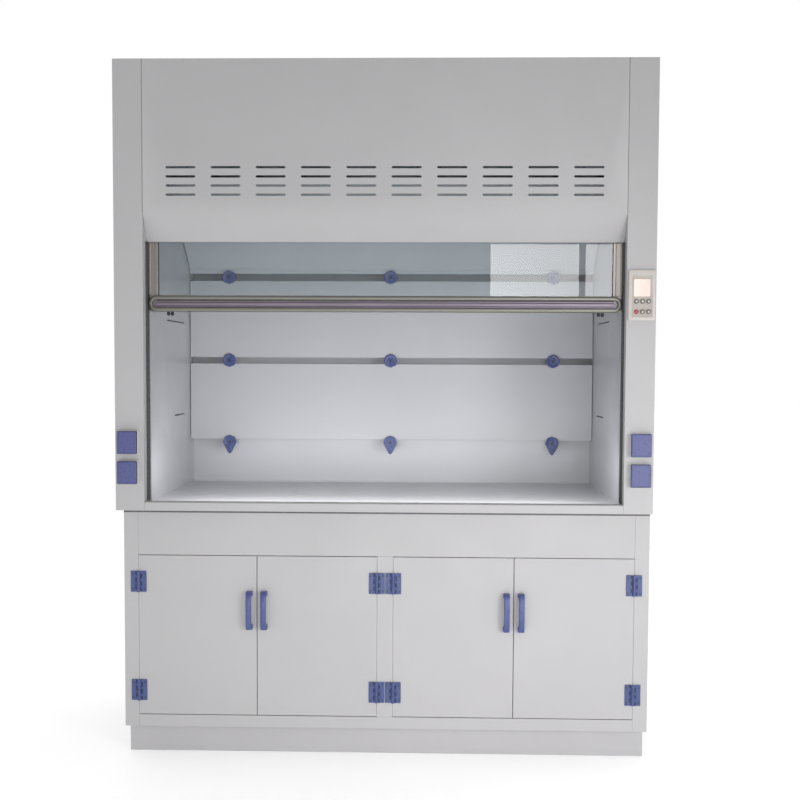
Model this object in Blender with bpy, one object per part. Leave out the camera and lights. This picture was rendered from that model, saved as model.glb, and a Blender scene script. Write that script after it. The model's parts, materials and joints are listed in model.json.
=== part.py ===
"""Walk-up fume hood: extraction chamber with a counterbalanced sash over a four-door base cabinet."""

import math

import bmesh
import bpy
from mathutils import Matrix, Vector

# Overall envelope, in metres. The front faces -Y and the floor is z = 0.
HALF_WIDTH = 0.900
FRONT = -0.425
BACK = 0.450
TOP = 2.350
GAP = 0.0003
INSET = 0.0003
OVERLAP = 0.001
OVERCUT = 0.010

# Base cabinet. It stands a little to the right of the upper body's centre plane.
BASE_SHIFT = 0.0075
PLINTH_HALF = 0.887
PLINTH_FRONT = -0.330
PLINTH_BACK = 0.410
PLINTH_TOP = 0.100
BOARD = 0.018
BASE_HALF = 0.892
BASE_FRONT = -0.380
BASE_BACK = 0.430
BASE_TOP = 0.850
FRAME_DEPTH = 0.020
DOOR_LOW = 0.143
DOOR_HIGH = 0.692
DOOR_THICK = 0.018
DOOR_GAP = 0.002
DOOR_OUTER = 0.841
DOOR_MEET = 0.437
DOOR_INNER = 0.029
HINGE_HEIGHTS = (0.227, 0.602)
HINGE_HALF = 0.036
HINGE_LEAF = 0.004
HINGE_REACH = 0.0265
HINGE_ROOT = 0.0112
KNUCKLES = 6
KNUCKLE_R = 0.0058
PIN_R = 0.0022
PIN_SHORT = 0.002
PIN_PLAY = 0.0005
HINGE_Y = BASE_FRONT - KNUCKLE_R - 0.0005
PULL_Z = 0.507
PULL_HALF_WIDTH = 0.0110
PULL_FROM_MEET = 0.025
PULL_OUTER = ((0, -0.065), (0.018, -0.064), (0.029, -0.056), (0.035, -0.042), (0.0365, 0.0))
PULL_INNER = ((0.0265, 0.0), (0.0255, -0.036), (0.021, -0.046), (0.012, -0.051), (0, -0.052))
PULL_EDGE = 0.0018

# Upper body: hollow side columns, worktop and walls of the chamber.
BODY_LOW = BASE_TOP + GAP
WALL = 0.008
SHEET = 0.006
OPENING_HALF = 0.803
RETURN_REAR = -0.349
TRACK_WIDTH = 0.030
TRACK_LIP = 0.025
WORK_Z = 0.867
RIM_Z = 0.880
BACK_INNER = 0.440
HANGING_SLOTS = ((1.503, -0.050), (1.150, 0.070))
SLIT_HALF = 0.002
SLIT_REAR = 0.238
ROOF_LOW = 2.338
CEILING_LOW = 2.050
DUCT_Y = 0.215
DUCT_R = 0.1575
DUCT_WALL = 0.005
DUCT_TOP = 2.410
CREASE_Z = 1.845
LIP_Y = -0.370
LIP_Z = 1.755
LIP_FLANGE = 0.018
SLOT_COLUMNS = 10
SLOT_ROWS = 4
SLOT_TOP_Z = 1.995
SLOT_ROW = 0.030
SLOT_PITCH = 0.150
SLOT_LENGTH = 0.100
SLOT_HEIGHT = 0.008

# Fittings inside the columns and holes in their fronts.
BEARING_R = 0.022
BEARING_X = 0.866
SHAFT_PLAY = 0.0004
IDLER_AXLE_R = 0.008
IDLER_AXLE_X = 0.836
ROOF_STEP_X = 0.700
SOCKET_HOLE = (0.0215, 0.029)
PANEL_HOLE_HALF = 0.0315
PANEL_HOLE_LOW = 1.5135
PANEL_HOLE_HIGH = 1.6415
WHEEL_ROOM = 0.045
SLIT_END_R = 0.007
RIM_WIDTH = 0.037
RIM_FOOT = 0.045
RIM_EASE = 0.003
CEILING_FRONT = -0.300
CEILING_LIP = 0.040
FLANGE_WIDTH = 0.028
FLANGE_THICK = 0.006

# Baffles on the back wall and the studs that hold them.
BAFFLE_HALF = 0.800
BAFFLE_Y = 0.359
BAFFLE_THICK = 0.005
BAFFLE_EDGES = (1.045, 1.346, 1.372, 1.674, 1.703, 1.721)
BAFFLE_TOP_Y = -0.045
BAFFLE_SLOPE = math.radians(36)
KNOB_X = 0.643
KNOB_HEIGHTS = (1.034, 1.359, 1.6885)
KNOB_R = 0.0265
KNOB_THICK = 0.013
KNOB_HOLE = 0.007
STRIP_HALF = 0.020
STRIP_THICK = 0.010
STRIP_LOW = 1.000
STRIP_HIGH = 1.730
SPACER_R = 0.022
STUD_R = 0.006
TAIL_HALF = 0.016
TAIL_TOP = 0.018
TAIL_DROP = 0.047
LAMP_HALF = 0.600
LAMP_FRONT = -0.275
LAMP_BACK = -0.175
LAMP_DEPTH = 0.045
LAMP_TAPER = 0.015
LAMP_EDGE = 0.003

# Sash, its belts and its counterweights.
SASH_Y = -0.334
SASH_LOW = 1.521
SASH_HIGH = 2.330
SASH_HALF = 0.800
STILE = 0.030
SASH_THICK = 0.024
RAIL_TOP = 1.577
TOP_RAIL = 0.022
STOP_X = 0.730
STOP_STEP = 0.0066
STOP_R = 0.0062
STOP_DROP = 0.013
STOP_SINK = 0.004
TONGUE_HALF = 0.005
TONGUE_PLAY = 0.002
CLAMP_HALF = 0.0095
CLAMP_HEIGHT = 0.040
CLAMP_OVER = 0.014
CLAMP_ROOT = 0.823
BAR_R = 0.027
BAR_PROUD = 0.026
GROOVE_R = 0.0135
GROOVE_DEPTH = 0.012
RAIL_LIFT = 0.002
RAIL_HOLLOW = 0.010
RAIL_ROOF = 0.018
HOLLOW_END = 0.782
HOLLOW_STEP = 0.015
GLASS_SUNK = 0.012
GLASS_THICK = 0.006
GLASS_HALF = 0.782
GLASS_TOP = SASH_HIGH - TOP_RAIL + 0.010
BELT_X = 0.848
BELT_HALF = 0.006
BELT_R = 0.030
BELT_THICK = 0.002
SHAFT_Z = 2.285
IDLER_Z = 0.930
SHAFT_R = 0.010
SHAFT_END = 0.8855
FLANGE_LIP = 0.004
WHEEL_FLANGE = 0.0022
IDLER_BORE = 0.0084
AXLE_Y = SASH_Y + BELT_R
REAR_RUN_Y = SASH_Y + 2 * BELT_R
CLAMP_Z = 2.160
WEIGHT_LOW = 0.905
WEIGHT_HIGH = 1.430
WEIGHT_NEAR = 0.026
WEIGHT_FAR = 0.034
WEIGHT_FRONT = 0.012
WEIGHT_REAR = 0.072
WEIGHT_EDGE = 0.002
GRIP_FRONT = 0.011
GRIP_LOW = 0.045
GRIP_HIGH = 0.005

# Controls and sockets on the column fronts.
PANEL_X = 0.852
PANEL_HALF = 0.044
PANEL_LOW = 1.494
PANEL_HIGH = 1.659
PANEL_PROUD = 0.0093
PANEL_EDGE = 0.0015
PANEL_MIDDLE = 1.5765
REAR_BOX_HALF = 0.030
REAR_BOX_LOW = 1.515
REAR_BOX_HIGH = 1.640
REAR_BOX_DEPTH = 0.040
SCREEN_HALF = 0.0275
SCREEN_LOW = 1.5715
SCREEN_HIGH = 1.6300
SCREEN_DEPTH = 0.0030
BUTTON_XS = (0.834, 0.854, 0.874)
BUTTON_ZS = (1.556, 1.522)
BUTTON_R = 0.0074
BUTTON_PROUD = 0.0020
BUTTON_LENGTH = 0.0065
BUTTON_WELL = 0.0065
SOCKET_X = 0.8555
SOCKET_ZS = (1.081, 0.980)
SOCKET_HALF = 0.034
SOCKET_PROUD = 0.0123
SOCKET_TALL = 0.0395
SOCKET_EDGE = 0.001
WIRING_HALF = 0.0275
WIRING_DEPTH = 0.042
WIRING_OVER = 0.030
NECK_HALF = 0.0205
NECK_TALL = 0.028
PIN_SLOT_HALF = 0.0011
PIN_SLOT_DEPTH = 0.009
PIN_SLOTS = ((-0.011, 0.001, 0.009), (0.011, 0.001, 0.009), (0.0, -0.014, -0.006))
LID_HALF = 0.0335
LID_TALL = 0.0385
LID_THICK = 0.0124
LID_WALL = 0.0024
LID_EDGE = 0.0012
LID_RELIEF = 0.0026
LID_RELIEF_Z = 0.0290
LID_HINGE_Y = -0.4425
LID_HINGE_DROP = 0.0345


def clear_scene():
    for obj in list(bpy.data.objects):
        bpy.data.objects.remove(obj)


def add_object(name, bm):
    bmesh.ops.recalc_face_normals(bm, faces=bm.faces)
    mesh = bpy.data.meshes.new(name)
    bm.to_mesh(mesh)
    bm.free()
    obj = bpy.data.objects.new(name, mesh)
    bpy.context.scene.collection.objects.link(obj)
    return obj


def block(low, high, bevel=0.0):
    """Box between two corners, with every edge rounded when bevel is given."""
    bm = bmesh.new()
    size = Vector(high) - Vector(low)
    centre = (Vector(high) + Vector(low)) / 2
    matrix = Matrix.Translation(centre) @ Matrix.Diagonal((*size, 1.0))
    bmesh.ops.create_cube(bm, size=1.0, matrix=matrix)
    if bevel:
        bmesh.ops.bevel(bm, geom=bm.edges, offset=bevel, segments=2, profile=0.5, affect="EDGES")
    return add_object("block", bm)


def lay(axis, along, flat):
    """Point with one coordinate along the axis and two in the plane across it."""
    if axis == "X":
        return (along, flat[0], flat[1])
    if axis == "Y":
        return (flat[0], along, flat[1])
    return (flat[0], flat[1], along)


def prism(axis, outline, low, high, bevel=0.0):
    """Outline in the plane across the axis, extruded from low to high."""
    bm = bmesh.new()
    face = bm.faces.new([bm.verts.new(lay(axis, low, point)) for point in outline])
    extruded = bmesh.ops.extrude_face_region(bm, geom=[face])["geom"]
    moved = [item for item in extruded if isinstance(item, bmesh.types.BMVert)]
    bmesh.ops.translate(bm, vec=lay(axis, high - low, (0, 0)), verts=moved)
    if bevel:
        ends = [edge for edge in bm.edges if is_rim(edge, axis)]
        bmesh.ops.bevel(bm, geom=ends, offset=bevel, segments=2, profile=0.5, affect="EDGES")
    return add_object("prism", bm)


def is_rim(edge, axis):
    index = "XYZ".index(axis)
    return abs(edge.verts[0].co[index] - edge.verts[1].co[index]) < 1e-6


def circle(centre, radius, steps):
    return [
        (
            centre[0] + radius * math.cos(math.tau * step / steps),
            centre[1] + radius * math.sin(math.tau * step / steps),
        )
        for step in range(steps)
    ]


def rod(axis, centre, radius, low, high, steps=24):
    return prism(axis, circle(centre, radius, steps), low, high)


def stadium(centre, half_length, radius, steps):
    """Outline of a bar with round ends, long in its first coordinate."""
    points = []
    for side, start in ((1, -math.pi / 2), (-1, math.pi / 2)):
        for step in range(steps + 1):
            angle = start + math.pi * step / steps
            x = centre[0] + side * (half_length - radius) + radius * math.cos(angle)
            points.append((x, centre[1] + radius * math.sin(angle)))
    return points


def combine(base, others, operation):
    """Applies an exact Boolean with each of the others, then removes them."""
    for other in others:
        modifier = base.modifiers.new(operation.lower(), "BOOLEAN")
        modifier.operation = operation
        modifier.solver = "EXACT"
        modifier.object = other
    graph = bpy.context.evaluated_depsgraph_get()
    mesh = bpy.data.meshes.new_from_object(base.evaluated_get(graph))
    base.modifiers.clear()
    base.data = mesh
    for other in others:
        bpy.data.objects.remove(other)
    return base


def join(base, others):
    return combine(base, others, "UNION")


def cut(base, others):
    return combine(base, others, "DIFFERENCE")


def mirrored(obj):
    """Copy of the object on the other side of the centre plane."""
    copy = obj.copy()
    copy.data = obj.data.copy()
    copy.data.transform(Matrix.Scale(-1, 4, (1, 0, 0)))
    copy.data.flip_normals()
    bpy.context.scene.collection.objects.link(copy)
    return copy


def duplicate(obj, move):
    copy = obj.copy()
    copy.data = obj.data.copy()
    copy.data.transform(Matrix.Translation(move))
    bpy.context.scene.collection.objects.link(copy)
    return copy


def material(name, colour, roughness, metallic=0.0, alpha=1.0, transmission=0.0):
    made = bpy.data.materials.new(name)
    made.use_nodes = True
    shader = made.node_tree.nodes["Principled BSDF"]
    shader.inputs["Base Color"].default_value = (*colour, 1.0)
    shader.inputs["Roughness"].default_value = roughness
    shader.inputs["Metallic"].default_value = metallic
    shader.inputs["Alpha"].default_value = alpha
    shader.inputs["Transmission Weight"].default_value = transmission
    made.diffuse_color = (*colour, alpha)
    return made


LOOKS = {
    "white": ((0.62, 0.62, 0.63), 0.45, 0.0),
    "grey": ((0.45, 0.45, 0.46), 0.5, 0.0),
    "blue": ((0.10, 0.12, 0.36), 0.4, 0.0),
    "aluminium": ((0.52, 0.50, 0.47), 0.35, 1.0),
    "steel": ((0.30, 0.30, 0.31), 0.4, 1.0),
    "black": ((0.03, 0.03, 0.03), 0.6, 0.0),
    "cream": ((0.78, 0.73, 0.68), 0.4, 0.0),
    "red": ((0.55, 0.07, 0.10), 0.4, 0.0),
}


def finish(obj, name, look, origin=(0, 0, 0), parent=None):
    """Names the piece, gives it its material and puts its origin on the given point."""
    obj.name = name
    obj.data.name = name
    obj.data.transform(Matrix.Translation(-Vector(origin)))
    obj.data.materials.clear()
    if look == "glass":
        obj.data.materials.append(material(name, (0.80, 0.86, 0.86), 0.05, 0.0, 0.3, 0.9))
    else:
        colour, roughness, metallic = LOOKS[look]
        obj.data.materials.append(material(name, colour, roughness, metallic))
    obj.data.shade_smooth()
    obj.data.set_sharp_from_angle(angle=math.radians(32))
    obj.location = origin
    if parent:
        obj.parent = parent
        obj.location = Vector(origin) - parent.location
    return obj


def build_plinth():
    ring = block((-PLINTH_HALF, PLINTH_FRONT, 0), (PLINTH_HALF, PLINTH_BACK, PLINTH_TOP))
    inside = block(
        (-PLINTH_HALF + BOARD, PLINTH_FRONT + BOARD, -OVERCUT),
        (PLINTH_HALF - BOARD, PLINTH_BACK - BOARD, PLINTH_TOP + OVERCUT),
    )
    finish(cut(ring, [inside]), "base_plinth", "white")


def build_carcass():
    low = PLINTH_TOP + GAP
    front = BASE_FRONT + FRAME_DEPTH + GAP
    shell = block((-BASE_HALF, front, low), (BASE_HALF, BASE_BACK, BASE_TOP))
    bays = []
    for side in (-1, 1):
        near = side * BOARD / 2
        far = side * (BASE_HALF - BOARD)
        bays.append(
            block(
                (min(near, far), front - OVERCUT, low + BOARD),
                (max(near, far), BASE_BACK - BOARD, BASE_TOP - BOARD),
            )
        )
    finish(cut(shell, bays), "base_carcass", "white")


def build_face_frame():
    low = PLINTH_TOP + GAP
    frame = block((-BASE_HALF, BASE_FRONT, low), (BASE_HALF, BASE_FRONT + FRAME_DEPTH, BASE_TOP))
    holes = []
    for side in (-1, 1):
        near = side * (DOOR_INNER - DOOR_GAP)
        far = side * (DOOR_OUTER + DOOR_GAP)
        holes.append(
            block(
                (min(near, far), BASE_FRONT - OVERCUT, DOOR_LOW - DOOR_GAP),
                (max(near, far), BASE_FRONT + 0.05, DOOR_HIGH + DOOR_GAP),
            )
        )
    finish(cut(frame, holes), "base_face_frame", "white")


def knuckle_spans():
    """Knuckle heights from the bottom up: the leaf on the -X side has the first, third and fifth."""
    step = 2 * HINGE_HALF / KNUCKLES
    return [(-HINGE_HALF + step * index, -HINGE_HALF + step * (index + 1)) for index in range(KNUCKLES)]


def spans_of(side):
    return knuckle_spans()[0::2] if side < 0 else knuckle_spans()[1::2]


def hinge_leaf(side, spans, inset, sunk):
    """Leaf plate with its knuckles around the Z axis, on the +X or -X side."""
    root = HINGE_ROOT * side
    surface = BASE_FRONT - HINGE_Y
    plate_front = surface - GAP - HINGE_LEAF
    xs = sorted((HINGE_REACH * side, root))
    leaf = block((xs[0], plate_front, -HINGE_HALF), (xs[1], surface + sunk, HINGE_HALF))
    extras = []
    for low, high in spans:
        low += inset
        high -= inset
        xs = sorted((root + 0.002 * side, 0.002 * side))
        extras.append(
            block((xs[0], plate_front + INSET, low + INSET), (xs[1], surface - 2 * INSET, high - INSET))
        )
        extras.append(rod("Z", (0, 0), KNUCKLE_R, low, high, 12))
    return join(leaf, extras)


def frame_leaf_template(side):
    leaf = hinge_leaf(side, spans_of(side), 0.0, -GAP)
    pin = rod("Z", (0, 0), PIN_R, -HINGE_HALF + PIN_SHORT, HINGE_HALF - PIN_SHORT, 8)
    return join(leaf, [pin])


def door_leaf_template(side):
    leaf = hinge_leaf(side, spans_of(side), GAP, 0.001)
    bore = rod("Z", (0, 0), PIN_R + PIN_PLAY, -HINGE_HALF - OVERCUT, HINGE_HALF + OVERCUT, 8)
    return cut(leaf, [bore])


def pull_outline():
    """Side view of a bow handle: outward distance from the door, and height."""
    upper = [(out, -height) for out, height in reversed(PULL_OUTER[:-1])]
    back_up = [(out, -height) for out, height in reversed(PULL_INNER)]
    outline = [*PULL_OUTER, *upper, *back_up, *PULL_INNER[1:]]
    return [(BASE_FRONT - GAP - out, PULL_Z + height) for out, height in outline]


def build_doors():
    frame_leaf = {side: frame_leaf_template(side) for side in (-1, 1)}
    door_leaf = {side: door_leaf_template(side) for side in (-1, 1)}
    doors = (
        ("door_1", -DOOR_OUTER, 1),
        ("door_2", -DOOR_INNER, -1),
        ("door_3", DOOR_INNER, 1),
        ("door_4", DOOR_OUTER, -1),
    )
    for name, edge, side in doors:
        axis_x = edge - side * DOOR_GAP / 2
        meet = math.copysign(DOOR_MEET, edge)
        xs = sorted((edge, meet - side * DOOR_GAP / 2))
        panel = block((xs[0], BASE_FRONT, DOOR_LOW), (xs[1], BASE_FRONT + DOOR_THICK, DOOR_HIGH))
        leaves = []
        for height in HINGE_HEIGHTS:
            place = Vector((axis_x, HINGE_Y, height))
            leaves.append(duplicate(door_leaf[side], place))
            fixed = duplicate(frame_leaf[-side], place)
            level = "low" if height == HINGE_HEIGHTS[0] else "high"
            finish(fixed, f"hinge_{name[-1]}_{level}", "blue", place)
        origin = (axis_x, HINGE_Y, 0)
        door = finish(join(panel, leaves), name, "white", origin)
        pull_x = meet - side * PULL_FROM_MEET
        pull = prism(
            "X",
            pull_outline(),
            pull_x - PULL_HALF_WIDTH,
            pull_x + PULL_HALF_WIDTH,
            PULL_EDGE,
        )
        finish(pull, f"door_pull_{name[-1]}", "blue", (pull_x, BASE_FRONT, PULL_Z), door)
    for template in (*frame_leaf.values(), *door_leaf.values()):
        bpy.data.objects.remove(template)


def build_side_shells():
    inner = HALF_WIDTH - WALL
    face = OPENING_HALF + SHEET
    lip = OPENING_HALF + TRACK_LIP
    section = [
        (HALF_WIDTH, BACK_INNER - GAP),
        (HALF_WIDTH, FRONT),
        (OPENING_HALF, FRONT),
        (OPENING_HALF, RETURN_REAR),
        (lip, RETURN_REAR),
        (lip, RETURN_REAR - SHEET),
        (face, RETURN_REAR - SHEET),
        (face, FRONT + WALL),
        (inner, FRONT + WALL),
        (inner, BACK_INNER - GAP),
    ]
    shell = prism("Z", section, BODY_LOW, TOP)
    floor = block(
        (OPENING_HALF + INSET, FRONT + OVERLAP, BODY_LOW),
        (inner + OVERLAP, BACK_INNER - GAP, BODY_LOW + WALL),
    )
    bearing = rod("X", (AXLE_Y, SHAFT_Z), BEARING_R, BEARING_X, inner + OVERLAP, 16)
    axle = rod("X", (AXLE_Y, IDLER_Z), IDLER_AXLE_R, IDLER_AXLE_X, inner + OVERLAP, 16)
    join(shell, [floor, bearing, axle])
    roof_step = block(
        (ROOF_STEP_X, FRONT + WALL + GAP, ROOF_LOW - GAP),
        (inner, BACK, TOP + OVERCUT),
    )
    bore = rod("X", (AXLE_Y, SHAFT_Z), SHAFT_R + SHAFT_PLAY, BEARING_X - OVERLAP, SHAFT_END + INSET, 16)
    cutters = [roof_step, bore]
    socket_x, socket_z = SOCKET_HOLE
    for height in SOCKET_ZS:
        cutters.append(
            block(
                (SOCKET_X - socket_x, FRONT - OVERCUT, height - socket_z),
                (SOCKET_X + socket_x, FRONT + WALL + OVERCUT, height + socket_z),
            )
        )
    cut(shell, cutters)
    left = mirrored(shell)
    finish(left, "side_shell_left", "white")
    window = block(
        (PANEL_X - PANEL_HOLE_HALF, FRONT - OVERCUT, PANEL_HOLE_LOW),
        (PANEL_X + PANEL_HOLE_HALF, FRONT + WALL + OVERCUT, PANEL_HOLE_HIGH),
    )
    finish(cut(shell, [window]), "side_shell_right", "white")


def build_liners():
    front = RETURN_REAR + TRACK_WIDTH
    face = OPENING_HALF + SHEET
    section = [
        (OPENING_HALF, BACK_INNER - GAP),
        (OPENING_HALF, front),
        (OPENING_HALF + TRACK_LIP, front),
        (OPENING_HALF + TRACK_LIP, front + SHEET),
        (face, front + SHEET),
        (face, BACK_INNER - GAP),
    ]
    liner = prism("Z", section, BODY_LOW + WALL + GAP, ROOF_LOW - GAP)
    near = OPENING_HALF - OVERCUT
    far = OPENING_HALF + TRACK_LIP + OVERCUT
    wheel_low = SHAFT_Z - BELT_R - WHEEL_ROOM
    cutters = [block((near, front - OVERCUT, wheel_low), (far, AXLE_Y + WHEEL_ROOM, TOP))]
    for height, start in HANGING_SLOTS:
        cutters.append(block((near, start, height - SLIT_HALF), (far, SLIT_REAR, height + SLIT_HALF)))
        cutters.append(rod("X", (SLIT_REAR, height), SLIT_END_R, near, far, 12))
    cut(liner, cutters)
    finish(mirrored(liner), "liner_left", "white")
    finish(liner, "liner_right", "white")


def build_worktop():
    section = [
        (FRONT, BODY_LOW),
        (BACK_INNER - GAP, BODY_LOW),
        (BACK_INNER - GAP, WORK_Z),
        (FRONT + RIM_FOOT, WORK_Z),
        (FRONT + RIM_WIDTH, RIM_Z),
        (FRONT + RIM_EASE, RIM_Z),
        (FRONT, RIM_Z - RIM_EASE),
    ]
    finish(prism("X", section, -OPENING_HALF + GAP, OPENING_HALF - GAP), "worktop", "white")


def build_walls():
    back = block((-HALF_WIDTH, BACK_INNER, BODY_LOW), (HALF_WIDTH, BACK, TOP))
    finish(back, "back_panel", "white")
    side = HALF_WIDTH - WALL - GAP
    roof = block(
        (-side, FRONT + WALL + 2 * GAP, ROOF_LOW),
        (side, BACK_INNER - GAP, ROOF_LOW + WALL),
    )
    hole = rod("Z", (0, DUCT_Y), DUCT_R + GAP, ROOF_LOW - OVERCUT, TOP + OVERCUT, 36)
    finish(cut(roof, [hole]), "roof_panel", "white")
    section = [
        (BACK_INNER - GAP, CEILING_LOW),
        (BACK_INNER - GAP, CEILING_LOW + WALL),
        (CEILING_FRONT + SHEET, CEILING_LOW + WALL),
        (CEILING_FRONT + SHEET, CEILING_LOW + CEILING_LIP),
        (CEILING_FRONT, CEILING_LOW + CEILING_LIP),
        (CEILING_FRONT, CEILING_LOW),
    ]
    ceiling = prism("X", section, -OPENING_HALF + GAP, OPENING_HALF - GAP)
    hole = rod("Z", (0, DUCT_Y), DUCT_R + GAP, CEILING_LOW - OVERCUT, CEILING_LOW + WALL + OVERCUT, 36)
    finish(cut(ceiling, [hole]), "ceiling_panel", "white")


def build_duct():
    collar = rod("Z", (0, DUCT_Y), DUCT_R, CEILING_LOW - FLANGE_THICK, DUCT_TOP, 36)
    flange_low = ROOF_LOW + WALL + GAP
    flange = rod("Z", (0, DUCT_Y), DUCT_R + FLANGE_WIDTH, flange_low, flange_low + FLANGE_THICK, 36)
    join(collar, [flange])
    bore = rod("Z", (0, DUCT_Y), DUCT_R - DUCT_WALL, CEILING_LOW - 2 * OVERCUT, DUCT_TOP + OVERCUT, 36)
    finish(cut(collar, [bore]), "duct_collar", "white")


def build_fascia():
    thick = SHEET
    lean = math.atan2(LIP_Y - FRONT, CREASE_Z - LIP_Z)
    knee = thick * math.tan(lean / 2)
    rear = LIP_Y + LIP_FLANGE
    across = thick / math.cos(lean)
    section = [
        (FRONT, TOP),
        (FRONT, CREASE_Z),
        (LIP_Y, LIP_Z),
        (rear, LIP_Z),
        (rear, LIP_Z + thick),
        (LIP_Y + across - thick * math.tan(lean), LIP_Z + thick),
        (FRONT + thick, CREASE_Z + knee),
        (FRONT + thick, TOP),
    ]
    panel = prism("X", section, -OPENING_HALF + GAP, OPENING_HALF - GAP)
    slots = bmesh.new()
    for column in range(SLOT_COLUMNS):
        for row in range(SLOT_ROWS):
            centre = ((column - (SLOT_COLUMNS - 1) / 2) * SLOT_PITCH, SLOT_TOP_Z - row * SLOT_ROW)
            outline = stadium(centre, SLOT_LENGTH / 2, SLOT_HEIGHT / 2, 3)
            near = [slots.verts.new((x, FRONT - OVERCUT, z)) for x, z in outline]
            far = [slots.verts.new((x, FRONT + OVERCUT, z)) for x, z in outline]
            slots.faces.new(near)
            slots.faces.new(far[::-1])
            for index in range(len(near)):
                after = (index + 1) % len(near)
                slots.faces.new((near[index], far[index], far[after], near[after]))
    finish(cut(panel, [add_object("slots", slots)]), "fascia", "white")


def build_baffles():
    edges = BAFFLE_EDGES
    rear = BAFFLE_Y + BAFFLE_THICK
    for name, low, high in (("baffle_lower", edges[0], edges[1]), ("baffle_middle", edges[2], edges[3])):
        panel = block((-BAFFLE_HALF, BAFFLE_Y, low), (BAFFLE_HALF, rear, high))
        finish(panel, name, "white")
    rise = (BAFFLE_Y - BAFFLE_TOP_Y) * math.tan(BAFFLE_SLOPE)
    normal = Vector((math.sin(BAFFLE_SLOPE), math.cos(BAFFLE_SLOPE))) * BAFFLE_THICK
    knee = BAFFLE_THICK * math.tan((math.pi / 2 - BAFFLE_SLOPE) / 2)
    section = [
        (BAFFLE_Y, edges[4]),
        (rear, edges[4]),
        (rear, edges[5] + knee),
        (BAFFLE_TOP_Y + normal.x, edges[5] + rise + normal.y),
        (BAFFLE_TOP_Y, edges[5] + rise),
        (BAFFLE_Y, edges[5]),
    ]
    finish(prism("X", section, -BAFFLE_HALF, BAFFLE_HALF), "baffle_upper", "white")


def build_hangers():
    wall = BACK_INNER - GAP
    behind = BAFFLE_Y + BAFFLE_THICK + GAP
    knob_back = BAFFLE_Y - GAP
    knob_front = knob_back - KNOB_THICK
    strip_front = wall - STRIP_THICK
    for name, x in (("left", -KNOB_X), ("centre", 0.0), ("right", KNOB_X)):
        strip = block((x - STRIP_HALF, strip_front, STRIP_LOW), (x + STRIP_HALF, wall, STRIP_HIGH))
        studs = []
        hollows = []
        for height in KNOB_HEIGHTS:
            centre = (x, height)
            studs.append(rod("Y", centre, SPACER_R, behind, strip_front + OVERLAP, 12))
            studs.append(rod("Y", centre, STUD_R, knob_front + KNOB_HOLE + 3 * OVERLAP, behind + OVERLAP, 8))
            studs.append(rod("Y", centre, KNOB_R, knob_front, knob_back, 20))
            hollows.append(rod("Y", centre, STUD_R, knob_front - OVERCUT, knob_front + KNOB_HOLE, 8))
        low = KNOB_HEIGHTS[0]
        tail = [(x - TAIL_HALF, low - TAIL_TOP), (x, low - TAIL_DROP), (x + TAIL_HALF, low - TAIL_TOP)]
        studs.append(prism("Y", tail, knob_front + 2 * OVERLAP, knob_back - OVERLAP))
        hanger = cut(join(strip, studs), hollows)
        finish(hanger, f"baffle_hanger_{name}", "blue", (x, wall, KNOB_HEIGHTS[1]))


def build_lamp():
    top = CEILING_LOW - GAP
    low = top - LAMP_DEPTH
    section = [
        (LAMP_FRONT, top),
        (LAMP_BACK, top),
        (LAMP_BACK - LAMP_TAPER, low),
        (LAMP_FRONT + LAMP_TAPER, low),
    ]
    lamp = prism("X", section, -LAMP_HALF, LAMP_HALF, LAMP_EDGE)
    finish(lamp, "lamp", "white", (0, (LAMP_FRONT + LAMP_BACK) / 2, top))


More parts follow.
